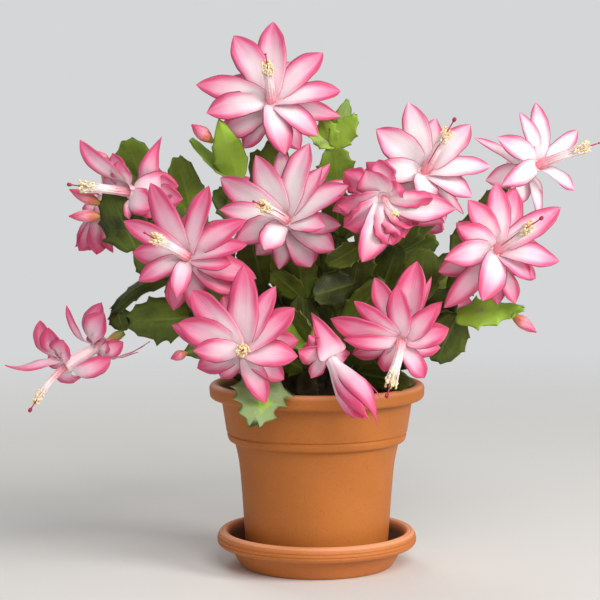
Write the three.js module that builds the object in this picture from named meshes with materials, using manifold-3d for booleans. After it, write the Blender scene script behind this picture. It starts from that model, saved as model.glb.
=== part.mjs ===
// A holiday cactus (Schlumbergera) in full flower, in a round plastic pot on its saucer.
// Millimetres, +Z up. The origin is under the middle of the saucer, on the surface it stands on.
// The front of the plant looks along -Y. Plant places are measured from the middle of the soil's top.

import * as THREE from "three";
import { mergeVertices } from "three/addons/utils/BufferGeometryUtils.js";
import Module from "manifold-3d";

const wasm = await Module();
wasm.setup();

// ---------------------------------------------------------------- driving dimensions

const CLEARANCE = 0.3; // gap between any two pieces
const ROUND_STEPS = 32; // facets round the pot, the saucer and the soil
const STEM_STEPS = 6; // facets round tubes, stamens and buds
const WALL = 2; // plastic wall of the pot and the saucer

const SAUCER = { footRadius: 46, rimRadius: 60.5, mouthRadius: 54, lipDrop: 7.5, height: 21.6 };
const POT = { footRadius: 42, waistRadius: 46.5, collarRadius: 57.6, rimRadius: 65, height: 108.7 };
const POT_BAND = { collarBottom: 75, grooveHeight: 81.2, rimBottom: 100.3 }; // above the pot's foot
const SOIL_DEPTH = 13; // how far the soil lies below the rim

const POT_FOOT = WALL + CLEARANCE; // height of the pot's foot above the surface
const RIM_TOP = POT_FOOT + POT.height;
const SOIL_TOP = RIM_TOP - SOIL_DEPTH;

const PAD_THICKNESS = 2.4; // a stem segment
const PETAL_THICKNESS = 1.5;
const THROAT_RADIUS = 5.2; // where a flower's tube opens
const TUBE_FOOT_RADIUS = 2.6; // where the tube sits on its stem
const PETAL_ARCH = 0.09; // how far a petal bows forward, as a share of its reach
const SHOULDER = 0.6; // where a petal is widest, as a share of its reach
const STAMEN_ROOT = 9; // how deep the stamens start inside the tube

// ---------------------------------------------------------------- the plant's layout

// Each flower: seat = tip of the stem that carries it, throat = middle of its mouth, axis = where it
// faces, stigma = tip of the style from the throat, gap = distance between its two rings of petals.
// A petal is [angle round the axis (0 right, 90 up, seen from the front), reach, width, rise], where
// reach is measured away from the axis and rise along it.
const FLOWERS = {
  top: {
    seat: [-27, 6, 158], throat: [-27, -20, 183], axis: [0.05, -0.93, 0.36], stigma: [-3, -16, 25],
    gap: 13,
    inner: [[90, 49, 16, 2], [117, 44, 15, 5], [45, 42, 14, 4], [4, 41, 13, 1], [323, 35, 13, -2],
      [279, 34, 15, -4], [192, 39, 13, -2], [166, 45, 13, 1]],
    outer: [[351, 42, 13, -2], [306, 30, 13, -7], [234, 27, 11, -11], [211, 33, 14, -5],
      [140, 33, 13, -6], [68, 34, 13, -6]],
  },
  centre: {
    seat: [-11, -25, 97], throat: [-19, -50, 114], axis: [-0.22, -0.93, 0.28], stigma: [-17, -27, 11],
    gap: 13,
    inner: [[118, 42, 16, 4], [80, 46, 15, 4], [53, 37, 11, 6], [27, 42, 14, 3], [352, 26, 12, 6],
      [240, 22, 13, 6], [205, 31, 13, 3], [173, 38, 11, 6], [152, 47, 14, 1]],
    outer: [[99, 48, 12, -6], [61, 43, 10, -3], [43, 42, 11, -5], [0, 29, 12, -6], [335, 29, 14, -8],
      [300, 26, 15, -9], [258, 26, 10, -9], [222, 27, 14, -8], [135, 34, 13, -8]],
  },
  left: {
    seat: [-66, -41, 79], throat: [-75, -68, 94], axis: [-0.22, -0.93, 0.28], stigma: [-21, -24, 14],
    gap: 13,
    inner: [[120, 48, 14, 4], [72, 42, 13, 4], [35, 40, 13, 3], [11, 37, 10, 4], [350, 28, 12, 3],
      [266, 26, 10, 4], [209, 31, 10, 1], [177, 32, 12, 0], [151, 42, 11, 5]],
    outer: [[245, 30, 12, -8], [280, 29, 12, -8], [329, 31, 14, -7], [352, 38, 14, -6], [55, 32, 13, -8],
      [98, 34, 13, -8], [192, 30, 12, -8]],
  },
  upper_left: {
    seat: [-85, -8, 118], throat: [-114, -22, 129], axis: [-0.9, -0.42, 0.12], stigma: [-30, -8, 4],
    gap: 17,
    inner: [[90, 27, 11, 31], [68, 19, 13, 8], [28, 11, 14, -29], [330, 16, 14, -14], [288, 17, 5, -2],
      [165, 26, 12, 5], [120, 26, 12, 6]],
    outer: [[87, 35, 14, -3], [17, 19, 14, -9], [356, 21, 13, -13], [311, 19, 13, 2], [225, 18, 12, -6],
      [140, 26, 13, -8]],
  },
  hanging_left: {
    seat: [-127, 15, 141], throat: [-133, 17, 110], axis: [-0.15, 0.05, -0.98], stigma: [0, 1, -17],
    gap: 9,
    inner: [[15, 12, 12, 20], [75, 11, 12, 21], [135, 12, 12, 19], [195, 13, 12, 18], [255, 12, 12, 21],
      [315, 11, 12, 20]],
    outer: [[200, 15, 10, 5], [250, 15, 10, 6], [300, 14, 10, 6], [20, 9, 8, 9]],
  },
  far_left: {
    seat: [-115, -15, 45], throat: [-152, -21, 24], axis: [-0.86, -0.16, -0.49], stigma: [-17, -8, -23],
    gap: 22,
    inner: [[91, 18, 11, 29], [92, 31, 11, -3], [80, 26, 12, -4], [56, 19, 13, -9], [317, 11, 10, -27],
      [225, 19, 12, -2], [150, 24, 12, 1]],
    outer: [[68, 17, 14, -17], [100, 22, 12, -18], [101, 31, 5, 0], [328, 9, 9, -17], [270, 13, 4, -32],
      [250, 17, 4, -22], [180, 20, 12, -8]],
  },
  lower_left: {
    seat: [-39, -60, 31], throat: [-43, -88, 42], axis: [-0.05, -0.97, 0.2], stigma: [2, -31, 4],
    gap: 12,
    inner: [[84, 49, 16, 2], [128, 44, 15, 3], [153, 39, 15, 1], [177, 27, 12, 2], [352, 32, 14, 3],
      [36, 38, 13, 4], [61, 41, 11, 5]],
    outer: [[161, 44, 13, -4], [199, 28, 12, -7], [296, 31, 12, -6], [328, 27, 12, -8], [18, 32, 14, -6],
      [105, 36, 14, -8], [226, 19, 10, -9]],
  },
  drooping: {
    seat: [-2, -60, 50], throat: [9, -79, 33], axis: [0.53, -0.4, -0.75], stigma: [12, -9, -17], gap: 8,
    inner: [],
    outer: [[128, 19, 15, -19], [182, 20, 12, -6], [262, 17, 9, 5], [355, 21, 9, 2], [152, 17, 8, -9]],
    closed: { length: 44, radius: 11.5 },
  },
  lower_right: {
    seat: [42, -38, 49], throat: [48, -66, 44], axis: [0.06, -0.98, -0.14], stigma: [-9, -18, -27],
    gap: 13,
    inner: [[161, 44, 13, 2], [179, 34, 9, 4], [133, 38, 10, 5], [100, 35, 12, 4], [51, 31, 11, 7],
      [16, 28, 12, 2], [299, 25, 10, 1]],
    outer: [[113, 38, 11, -3], [80, 45, 15, -4], [62, 40, 5, -1], [38, 32, 9, -4], [205, 29, 12, -7],
      [250, 24, 12, -8], [340, 26, 12, -8]],
  },
  upper_right: {
    seat: [58, -4, 127], throat: [63, -32, 142], axis: [0.08, -0.94, 0.32], stigma: [15, -14, 28],
    gap: 13,
    inner: [[140, 37, 16, 5], [105, 41, 14, 5], [41, 38, 14, 5], [2, 38, 12, 3], [332, 32, 13, 1],
      [266, 23, 14, 7], [189, 34, 13, 2]],
    outer: [[77, 38, 11, -3], [61, 37, 9, -4], [317, 33, 6, -3], [297, 29, 12, -6], [225, 27, 13, -8],
      [174, 37, 12, -4], [20, 30, 12, -8]],
  },
  ruffled: {
    seat: [34, -34, 113], throat: [38, -62, 125], axis: [0.16, -0.86, -0.48], stigma: [8, -9, -10],
    gap: 8,
    inner: [[188, 27, 19, 1], [221, 28, 18, 2], [253, 36, 18, 13], [286, 27, 18, 6], [305, 26, 15, 6],
      [328, 26, 14, 2], [353, 43, 15, 2], [12, 27, 9, 5], [122, 24, 17, 2], [70, 14, 13, 1]],
    outer: [[204, 30, 17, -3], [270, 31, 16, 0], [335, 46, 12, -2], [96, 20, 14, -5], [155, 25, 15, -5]],
  },
  far_right: {
    seat: [114, 13, 130], throat: [134, -6, 145], axis: [0.5, -0.78, 0.36], stigma: [32, -8, 12],
    gap: 15,
    inner: [[107, 33, 8, 3], [88, 38, 10, 3], [152, 35, 11, 3], [198, 38, 11, 2], [30, 36, 9, 6],
      [318, 27, 9, 0]],
    outer: [[149, 42, 5, 2], [275, 28, 7, -3], [232, 24, 13, -6], [190, 26, 12, -9], [308, 20, 9, -8],
      [60, 22, 9, -8]],
  },
  right: {
    seat: [95, -27, 86], throat: [104, -53, 97], axis: [0.2, -0.94, 0.26], stigma: [21, -21, 18],
    gap: 13,
    inner: [[116, 33, 12, 5], [93, 38, 12, 5], [30, 45, 13, 4], [347, 36, 13, 3], [314, 25, 11, 2],
      [250, 33, 16, 2], [188, 34, 13, 3], [154, 28, 12, 5]],
    outer: [[66, 44, 15, -3], [5, 33, 11, -4], [331, 31, 12, -6], [294, 32, 10, -6], [279, 29, 12, -7],
      [230, 43, 12, -5], [196, 33, 12, -5], [135, 27, 12, -8]],
  },
  back_right: {
    seat: [50, 60, 105], throat: [57, 86, 118], axis: [0.28, 0.9, 0.34], stigma: [10, 28, 15], gap: 13,
    inner: [[88, 38, 14, 3], [45, 36, 14, 4], [5, 34, 13, 3], [325, 31, 13, 1], [275, 29, 14, 0],
      [222, 31, 13, 1], [180, 35, 13, 3], [135, 37, 14, 4]],
    outer: [[66, 33, 13, -6], [20, 32, 13, -7], [340, 29, 13, -8], [295, 27, 13, -8], [245, 28, 13, -8],
      [198, 31, 13, -7], [110, 33, 13, -6]],
  },
  back_left: {
    seat: [-22, 64, 95], throat: [-27, 91, 106], axis: [-0.18, 0.93, 0.3], stigma: [-8, 29, 14], gap: 13,
    inner: [[95, 39, 14, 3], [50, 37, 14, 4], [10, 35, 13, 3], [330, 31, 13, 1], [282, 28, 14, 0],
      [228, 30, 13, 1], [185, 35, 13, 3], [140, 38, 14, 4]],
    outer: [[72, 34, 13, -6], [28, 32, 13, -7], [350, 30, 13, -8], [305, 27, 13, -8], [255, 27, 13, -8],
      [205, 31, 13, -7], [118, 34, 13, -6]],
  },
  back_low: {
    seat: [57, 64, 47], throat: [70, 88, 56], axis: [0.4, 0.9, 0.16], stigma: [13, 29, 8], gap: 12,
    inner: [[92, 36, 14, 3], [48, 34, 14, 4], [8, 33, 13, 3], [328, 29, 13, 1], [276, 26, 14, 0],
      [224, 29, 13, 1], [182, 33, 13, 3], [137, 35, 14, 4]],
    outer: [[70, 31, 13, -6], [25, 30, 13, -7], [346, 28, 13, -8], [300, 25, 13, -8], [250, 26, 13, -8],
      [202, 29, 13, -7], [115, 32, 13, -6]],
  },
};

// Each branch is one grown piece, as chains of flat segments. A chain's first row is where it starts, in
// the soil or at a joint of the same branch. The rows after it are [x, y, z, width, turn] for the end of
// each segment, where turn is in degrees about its own length and 0 shows its flat side to the front.
const BRANCHES = {
  top: [
    [[-4, 6, -6], [-8, 12, 36, 13, 20], [-14, 15, 76, 22, 15], [-20, 14, 117, 24, 0],
      [-27, 7, 157, 22, -10]],
    [[-20, 14, 117], [-38, 20, 151, 20, 10]],
    [[-8, 12, 36], [8, 22, 62, 23, 15], [-2, 27, 92, 23, -15]],
  ],
  pale_left: [
    [[-13, 2, -6], [-23, 5, 34, 13, 0], [-33, 5, 72, 22, -20], [-41, 3, 105, 22, 10],
      [-48, -2, 135, 18, 0]],
    [[-48, -2, 135], [-58, -22, 172, 21, 0]],
    [[-48, -2, 135], [-75, 3, 159, 18, 68]],
    [[-41, 3, 105], [-60, 10, 128, 20, 30]],
  ],
  top_right: [
    [[4, 8, -6], [8, 14, 34, 13, 0], [11, 15, 70, 22, 25], [13, 11, 101, 22, 0], [13, 5, 129, 22, -15],
      [10, 0, 155, 22, 0]],
    [[10, 0, 155], [22, -6, 173, 16, 10]],
    [[10, 0, 155], [2, -6, 175, 13, -20]],
    [[10, 0, 155], [-6, -4, 164, 10, 20]],
    [[10, 0, 155], [18, 6, 182, 16, 20]],
    [[13, 11, 101], [34, 16, 128, 20, 20]],
  ],
  centre: [
    [[-6, -10, -6], [-8, -14, 32, 13, 0], [-9, -18, 66, 21, 15], [-11, -25, 96, 20, 0]],
    [[-9, -18, 66], [-26, -14, 92, 18, 0]],
    [[-9, -18, 66], [-26, -27, 82, 15, -20]],
  ],
  left: [
    [[-15, -7, -6], [-33, -17, 24, 13, 0], [-50, -29, 52, 22, 10], [-66, -41, 78, 20, 0]],
    [[-33, -17, 24], [-26, -20, 56, 18, 30]],
  ],
  upper_left: [
    [[-17, 6, -6], [-36, 5, 32, 13, 0], [-55, 4, 68, 22, 15], [-72, 2, 101, 22, 0],
      [-85, -7, 117, 15, 0]],
    [[-72, 2, 101], [-84, 11, 147, 23, -10]],
    [[-36, 5, 32], [-60, 17, 62, 20, 0], [-84, 23, 94, 24, 20], [-103, 23, 126, 24, 0],
      [-115, 19, 158, 26, -10]],
    [[-103, 23, 126], [-127, 16, 141, 18, 25]],
  ],
  far_left: [
    [[-21, 0, -6], [-44, -5, 26, 13, 0], [-70, -11, 54, 22, 0], [-88, -13, 76, 20, 20],
      [-119, -15, 59, 18, 58], [-115, -15, 46, 14, 10]],
    [[-88, -13, 76], [-108, -12, 95, 20, 0], [-122, -16, 127, 28, 0]],
  ],
  low_left: [
    [[-17, -13, -6], [-36, -21, 18, 13, 0], [-55, -25, 40, 22, 0], [-76, -26, 55, 22, 10],
      [-109, -29, 53, 27, 0]],
    [[-55, -25, 40], [-76, -43, 36, 16, 20]],
  ],
  lower_left: [
    [[-11, -20, -6], [-24, -38, 14, 13, 0], [-39, -59, 30, 15, 20]],
    [[-24, -38, 14], [-31, -62, 26, 14, 0], [-35, -79, 3, 30, 0]],
  ],
  front: [
    [[-2, -18, -6], [-9, -24, 24, 13, 0], [-15, -34, 54, 18, 0], [-3, -59, 50, 19, 30]],
    [[-9, -24, 24], [-22, -46, 34, 15, 20]],
    [[-15, -34, 54], [-10, -49, 38, 15, -15]],
  ],
  lower_right: [
    [[12, -15, -6], [26, -24, 22, 13, 0], [42, -37, 48, 19, 0]],
    [[26, -24, 22], [54, -44, 19, 18, 15]],
  ],
  upper_right: [
    [[11, 7, -6], [23, 10, 28, 13, 0], [37, 10, 62, 22, -15], [49, 6, 96, 23, 0], [58, -3, 126, 20, 10]],
    [[49, 6, 96], [72, 8, 124, 20, 0]],
  ],
  middle: [
    [[8, -5, -6], [14, -9, 22, 13, 0], [18, -13, 50, 22, 10], [22, -15, 74, 23, -10],
      [26, -20, 97, 21, -10], [34, -34, 113, 17, 0]],
    [[22, -15, 74], [-2, -25, 68, 22, 0]],
    [[26, -20, 97], [6, -29, 86, 17, 40]],
    [[18, -13, 50], [38, -24, 77, 19, 15]],
  ],
  right: [
    [[17, -3, -6], [38, -6, 22, 13, 0], [60, -10, 47, 23, 0], [80, -17, 69, 23, 10],
      [95, -27, 85, 19, 0]],
    [[38, -6, 22], [47, -19, 45, 20, 0], [60, -25, 66, 20, 20], [63, -28, 95, 23, -10]],
    [[60, -10, 47], [82, -26, 55, 18, 20], [117, -31, 60, 21, -44]],
    [[82, -26, 55], [71, -21, 29, 25, 0]],
  ],
  far_right: [
    [[18, 5, -6], [41, 9, 26, 13, 0], [64, 12, 58, 22, 0], [85, 14, 88, 22, 10], [100, 15, 112, 20, 0],
      [114, 13, 129, 16, 0]],
    [[64, 12, 58], [92, 16, 72, 20, 10]],
  ],
  back_right: [
    [[9, 17, -6], [20, 28, 28, 13, 0], [33, 39, 58, 22, 0], [43, 49, 83, 22, 15], [50, 60, 104, 18, 0]],
    [[20, 28, 28], [38, 46, 36, 20, 0], [57, 64, 46, 18, 20]],
    [[33, 39, 58], [14, 52, 84, 22, 0]],
    [[43, 49, 83], [74, 44, 96, 22, 30]],
  ],
  back_left: [
    [[-6, 18, -6], [-12, 29, 28, 13, 0], [-18, 42, 60, 22, 0], [-22, 64, 94, 20, 0]],
    [[-12, 29, 28], [-34, 46, 48, 22, 20], [-56, 54, 76, 24, 0], [-72, 50, 106, 22, 0]],
    [[-34, 46, 48], [-44, 68, 28, 22, 0]],
    [[-18, 42, 60], [2, 62, 66, 20, 0]],
  ],
};

// Each bud: seat on a segment's tip or margin, tip, and its fattest radius.
const BUDS = {
  top_left: { seat: [-62, -13, 158], tip: [-74, -17, 168], radius: 4.4 },
  left_upper: { seat: [-128, -15, 121], tip: [-146, -20, 130], radius: 4 },
  left_lower: { seat: [-127, -14, 114], tip: [-147, -16, 114], radius: 3.8 },
  upper_left: { seat: [-125.5, 18, 144.5], tip: [-134, 12, 152], radius: 3 },
  low_left: { seat: [-76, -44, 36], tip: [-85, -49, 33], radius: 3.2 },
  right: { seat: [114, -31, 57], tip: [128, -36, 47], radius: 3.9 },
};

// ---------------------------------------------------------------- geometry into solids

const vector = (p) => new THREE.Vector3(...p);

// A closed three.js geometry as a solid, with its shared vertices merged and flat triangles dropped.
function solidFrom(geometry) {
  const bare = geometry.clone();
  for (const name of ["normal", "uv"]) bare.deleteAttribute(name);
  const merged = mergeVertices(bare, 1e-4);
  const index = merged.index.array;
  const faces = [];
  for (let i = 0; i < index.length; i += 3) {
    const [a, b, c] = index.slice(i, i + 3);
    if (a !== b && b !== c && c !== a) faces.push(a, b, c);
  }
  const vertProperties = new Float32Array(merged.attributes.position.array);
  const triVerts = new Uint32Array(faces);
  return new wasm.Manifold(new wasm.Mesh({ numProp: 3, vertProperties, triVerts }));
}

function geometryFrom(solid) {
  const mesh = solid.getMesh();
  const geometry = new THREE.BufferGeometry();
  geometry.setAttribute("position", new THREE.BufferAttribute(mesh.vertProperties, 3));
  geometry.setIndex(new THREE.BufferAttribute(mesh.triVerts, 1));
  geometry.computeVertexNormals();
  return geometry;
}

// A turned shape: profile is [radius, height] pairs from the axis out and back to the axis.
function turned(profile) {
  const points = profile.map(([radius, height]) => new THREE.Vector2(radius, height));
  const geometry = new THREE.LatheGeometry(points, ROUND_STEPS);
  geometry.rotateX(Math.PI / 2);
  return solidFrom(geometry);
}

// A round stem along a curve: profile is [share of the length, radius] pairs, ends closed on the curve.
function stem(curve, profile, grow) {
  const length = curve.getLength();
  const longer = 1 + (2 * grow) / length;
  const rings = profile.map(([share, radius]) => [0.5 + (share - 0.5) * longer, radius + grow]);
  const points = rings.map(([share, radius]) => new THREE.Vector2(radius, share));
  points.unshift(new THREE.Vector2(0, rings[0][0]));
  points.push(new THREE.Vector2(0, rings.at(-1)[0]));
  const geometry = new THREE.LatheGeometry(points, STEM_STEPS);
  const place = geometry.attributes.position;
  const ahead = curve.getTangent(0);
  const side = ahead.clone().cross(curve.getTangent(1)); // square to the plane that the curve bends in
  if (side.length() < 0.05) side.set(...(Math.abs(ahead.z) > 0.9 ? [1, 0, 0] : [0, 0, 1]));
  for (let i = 0; i < place.count; i++) {
    const share = place.getY(i);
    const along = Math.min(Math.max(share, 0), 1);
    const point = curve.getPoint(along);
    curve.getTangent(along, ahead);
    const across = new THREE.Vector3().crossVectors(side, ahead).normalize();
    const over = new THREE.Vector3().crossVectors(ahead, across);
    point.addScaledVector(across, place.getX(i)).addScaledVector(over, -place.getZ(i));
    point.addScaledVector(ahead, (share - along) * length);
    place.setXYZ(i, point.x, point.y, point.z);
  }
  return solidFrom(geometry);
}

// ---------------------------------------------------------------- pot, saucer and soil

// Both sides of the pot's wall, as [radius, height above the pot's foot].
const potOutside = [
  [POT.footRadius - 1.5, 0],
  [POT.footRadius, 1.5],
  [POT.footRadius + 1.8, 18],
  [POT.waistRadius - 1, 44],
  [POT.waistRadius + 0.6, 62],
  [POT.waistRadius + 3.2, POT_BAND.collarBottom - 1],
  [POT.collarRadius - 4, POT_BAND.collarBottom],
  [POT.collarRadius - 2.6, POT_BAND.grooveHeight],
  [POT.collarRadius - 2.2, POT_BAND.grooveHeight + 1],
  [POT.collarRadius, POT_BAND.rimBottom - 0.5],
  [POT.rimRadius - 2, POT_BAND.rimBottom],
  [POT.rimRadius, POT_BAND.rimBottom + 2.2],
  [POT.rimRadius - 0.2, POT.height - 2],
  [POT.rimRadius - 2, POT.height],
];

const potInside = [
  [POT.collarRadius + 1.4, POT.height],
  [POT.collarRadius - WALL, POT_BAND.rimBottom - 2],
  [POT.collarRadius - 4.6, POT_BAND.grooveHeight],
  [POT.waistRadius + 3.2 - WALL, POT_BAND.collarBottom - 2],
  [POT.waistRadius - 1 - WALL, 44],
  [POT.footRadius - WALL, WALL + 1],
  [POT.footRadius - WALL - 1, WALL],
];

function pot(grow) {
  const top = (height) => (height === POT.height ? grow : 0);
  const thicker = (profile, out) => profile.map(([radius, height]) => [radius + out, height + top(height)]);
  const wall = [...thicker(potOutside, grow), ...thicker(potInside, -grow)];
  return turned([[0, 0], ...wall, [0, WALL]]).translate([0, 0, POT_FOOT]);
}

function saucer() {
  const { footRadius, rimRadius, mouthRadius, lipDrop, height } = SAUCER;
  return turned([
    [0, 0],
    [footRadius - 1, 0],
    [footRadius + 0.5, 1],
    [mouthRadius + WALL - 1, height - lipDrop],
    [rimRadius - 1.4, height - lipDrop],
    [rimRadius, height - lipDrop + 2],
    [rimRadius - 0.4, height - 2.4],
    [rimRadius - 3.2, height],
    [mouthRadius + 1.5, height],
    [mouthRadius, height - 1.5],
    [footRadius - 0.5, WALL],
    [0, WALL],
  ]);
}

// The soil fills the pot up to its top, a little higher in the middle, in the plant's own frame.
function soil() {
  const floor = POT_FOOT + WALL + CLEARANCE - SOIL_TOP;
  const play = CLEARANCE + 0.3;
  const brink = POT.waistRadius + 3.2 - WALL;
  return turned([
    [0, floor],
    [POT.footRadius - WALL - play - 1, floor],
    [POT.footRadius - WALL - play, floor + 1.5],
    [POT.waistRadius - 1 - WALL - play, POT_FOOT + 44 - SOIL_TOP],
    [brink - play, POT_FOOT + POT_BAND.collarBottom - 2 - SOIL_TOP],
    [POT.collarRadius - 4.6 - play, POT_FOOT + POT_BAND.grooveHeight - SOIL_TOP],
    [POT.collarRadius - 3.6 - play, -2],
    [POT.collarRadius * 0.6, -0.6],
    [0, 0],
  ]);
}

// ---------------------------------------------------------------- stem segments and branches

// One side of a segment's outline, from its joint to its tip: [share of length, share of half width].
const PAD_OUTLINE = [[0, 0.22], [0.28, 0.78], [0.57, 1], [0.64, 0.84], [1, 0.62]];
const PAD_OVERLAP = 1.6; // how far a segment runs into its neighbour at a joint

// Axes of a segment: y along it, z across its thickness, turned about y from facing the front.
function padFrame(from, to, turn) {
  const along = to.clone().sub(from).normalize();
  const front = new THREE.Vector3(0, -1, 0);
  if (Math.abs(along.y) > 0.93) front.set(0, 0, 1);
  const face = front.addScaledVector(along, -front.dot(along)).normalize();
  face.applyAxisAngle(along, THREE.MathUtils.degToRad(turn));
  const across = new THREE.Vector3().crossVectors(along, face);
  return new THREE.Matrix4().makeBasis(across, along, face).setPosition(from);
}

function pad(from, [x, y, z, width, turn], grow) {
  const start = vector(from);
  const end = new THREE.Vector3(x, y, z);
  const length = start.distanceTo(end);
  const edge = PAD_OUTLINE.map(([share, wide]) => [
    (wide * width) / 2 + grow,
    share * length + (share === 0 ? -PAD_OVERLAP - grow : 0) + (share === 1 ? grow : 0),
  ]);
  const mirrored = edge.map(([across, along]) => [-across, along]).reverse();
  const corners = [...edge, ...mirrored].map(([across, along]) => new THREE.Vector2(across, along));
  const depth = PAD_THICKNESS + 2 * grow;
  const geometry = new THREE.ExtrudeGeometry(new THREE.Shape(corners), { depth, bevelEnabled: false });
  geometry.translate(0, 0, -depth / 2);
  geometry.applyMatrix4(padFrame(start, end, turn));
  return solidFrom(geometry);
}

function branch(chains, grow) {
  const pads = chains.flatMap((rows) => rows.slice(1).map((row, i) => pad(rows[i].slice(0, 3), row, grow)));
  return wasm.Manifold.union(pads);
}

// ---------------------------------------------------------------- flowers and buds

// Axes of a flower: x to its right, y up, z where it faces.
function flowerFrame({ throat, axis }, back = 0) {
  const face = vector(axis).normalize();
  const up = new THREE.Vector3(0, 0, 1).addScaledVector(face, -face.z);
  if (up.length() < 0.3) up.set(0, 1, 0).addScaledVector(face, -face.y);
  up.normalize();
  const right = new THREE.Vector3().crossVectors(up, face);
  const middle = vector(throat).addScaledVector(face, -back);
  return new THREE.Matrix4().makeBasis(right, up, face).setPosition(middle);
}

// The tube runs from the seat to the throat and arrives along the flower's axis.
function tubeCurve({ seat, throat, axis }) {
  const foot = vector(seat);
  const mouth = vector(throat);
  const span = foot.distanceTo(mouth);
  const before = mouth.clone().addScaledVector(vector(axis).normalize(), -span * 0.5);
  return new THREE.QuadraticBezierCurve3(foot, before, mouth);
}

function stamenCurve({ throat, axis, stigma }) {
  const face = vector(axis).normalize();
  const root = vector(throat).addScaledVector(face, -STAMEN_ROOT);
  const bend = vector(throat).addScaledVector(face, 6);
  return new THREE.QuadraticBezierCurve3(root, bend, vector(throat).add(vector(stigma)));
}

// The corners of a ring of petals, as [angle, radius, lift]: a star with two shoulders to each point.
function ringCorners(petals, grow) {
  const ring = [...petals].sort((a, b) => a[0] - b[0]);
  const gaps = ring.map(([angle], i) => (ring[(i + 1) % ring.length][0] - angle + 360) % 360);
  return ring.flatMap(([angle, reach, width, rise], i) => {
    const next = ring[(i + 1) % ring.length];
    const before = gaps.at(i - 1) / 2;
    const after = gaps[i] / 2;
    const shoulder = SHOULDER * reach;
    const spread = THREE.MathUtils.radToDeg(Math.asin(Math.min((width / 2 + grow) / shoulder, 0.95)));
    const meet = (width + next[2]) / 4 / Math.sin(THREE.MathUtils.degToRad(Math.min(after, 90)));
    const notch = THREE.MathUtils.clamp(meet, THROAT_RADIUS + 1, 0.4 * Math.min(reach, next[1]));
    const lift = rise * SHOULDER ** 2 + PETAL_ARCH * reach;
    return [
      [angle - Math.min(spread, 0.8 * before), shoulder, lift],
      [angle, reach + grow, rise],
      [angle + Math.min(spread, 0.8 * after), shoulder, lift],
      [angle + after, notch + grow, 0],
    ];
  });
}

// One ring of petals, bowed forward between notch and tip.
function petalRing(petals, frame, grow) {
  const spot = ([angle, radius]) => {
    const turn = THREE.MathUtils.degToRad(angle);
    return new THREE.Vector2(Math.cos(turn), Math.sin(turn)).multiplyScalar(radius);
  };
  const outline = ringCorners(petals, 0).map(spot);
  const corners = ringCorners(petals, grow);
  const geometry = new THREE.ExtrudeGeometry(new THREE.Shape(outline), { depth: 1, bevelEnabled: false });
  const place = geometry.attributes.position;
  for (let i = 0; i < place.count; i++) {
    const at = new THREE.Vector2(place.getX(i), place.getY(i));
    const corner = corners[outline.findIndex((point) => point.distanceTo(at) < 1e-3)];
    const { x, y } = spot(corner);
    const side = (place.getZ(i) - 0.5) * (PETAL_THICKNESS + 4 * grow); // steep petals need twice the growth
    place.setXYZ(i, x, y, corner[2] + side);
  }
  geometry.applyMatrix4(frame);
  return solidFrom(geometry);
}

function petals(flower, grow) {
  const throat = flower.closed ? THROAT_RADIUS - 1 : THROAT_RADIUS;
  const profile = [[0, TUBE_FOOT_RADIUS], [0.5, 3.4], [1, throat]];
  const parts = [stem(tubeCurve(flower), profile, grow)];
  if (flower.inner.length) parts.push(petalRing(flower.inner, flowerFrame(flower, 1), grow));
  parts.push(petalRing(flower.outer, flowerFrame(flower, flower.gap), grow));
  if (flower.closed) {
    const { length, radius } = flower.closed;
    const face = vector(flower.axis).normalize();
    const from = vector(flower.throat).addScaledVector(face, -3);
    const to = from.clone().addScaledVector(face, length + 3);
    parts.push(stem(new THREE.LineCurve3(from, to), [[0, 4.2], [0.3, radius * 0.85], [0.55, radius],
      [0.8, radius * 0.6], [1, 0.8]], grow));
  }
  return wasm.Manifold.union(parts);
}

function stamens(flower, grow) {
  return stem(stamenCurve(flower), [[0, 1.2], [0.3, 1.9], [0.6, 1.7], [0.73, 3], [0.84, 0.8], [0.93, 0.7],
    [0.98, 1.4]], grow);
}

function bud({ seat, tip, radius }, grow) {
  const line = new THREE.LineCurve3(vector(seat), vector(tip));
  const shape = [[0, 0.35], [0.22, 0.8], [0.5, 1], [0.8, 0.55], [1, 0.1]];
  return stem(line, shape.map(([share, wide]) => [share, wide * radius]), grow);
}

// ---------------------------------------------------------------- pieces kept clear of each other

const COLOURS = {
  terracotta: { color: 0xc07a4a, roughness: 0.7 },
  soil: { color: 0x2a211b, roughness: 1 },
  stem: { color: 0x5f8a35, roughness: 0.5 },
  petal: { color: 0xf07fae, roughness: 0.55 },
  stamen: { color: 0xf6e3c4, roughness: 0.6 },
  bud: { color: 0xe8607f, roughness: 0.5 },
};

// Pieces already placed, each grown by the clearance, in the plant's own frame.
const placed = [];

const boxesMeet = (a, b) =>
  [0, 1, 2].every((axis) => a.min[axis] <= b.max[axis] && b.min[axis] <= a.max[axis]);

// Cuts a new solid back from every piece already placed, keeps its largest body, and names it.
function place(group, name, colour, build, anchor = [0, 0, 0]) {
  let solid = build(0);
  for (const other of placed) {
    if (boxesMeet(solid.boundingBox(), other.boundingBox())) solid = solid.subtract(other);
  }
  const bodies = solid.decompose().sort((a, b) => b.volume() - a.volume());
  placed.push(build(CLEARANCE));
  const geometry = geometryFrom(bodies[0]).translate(...anchor.map((x) => -x));
  const mesh = new THREE.Mesh(geometry, new THREE.MeshStandardMaterial(COLOURS[colour]));
  mesh.name = name;
  mesh.position.set(...anchor);
  group.add(mesh);
}

const object = new THREE.Group();
const holder = new THREE.Group();
const plant = new THREE.Group();
plant.position.z = SOIL_TOP;
object.add(holder, plant);

for (const [name, build] of [["pot", pot], ["saucer", saucer]]) {
  const mesh = new THREE.Mesh(geometryFrom(build(0)), new THREE.MeshStandardMaterial(COLOURS.terracotta));
  mesh.name = name;
  holder.add(mesh);
}
placed.push(pot(CLEARANCE).translate([0, 0, -SOIL_TOP]));

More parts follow.
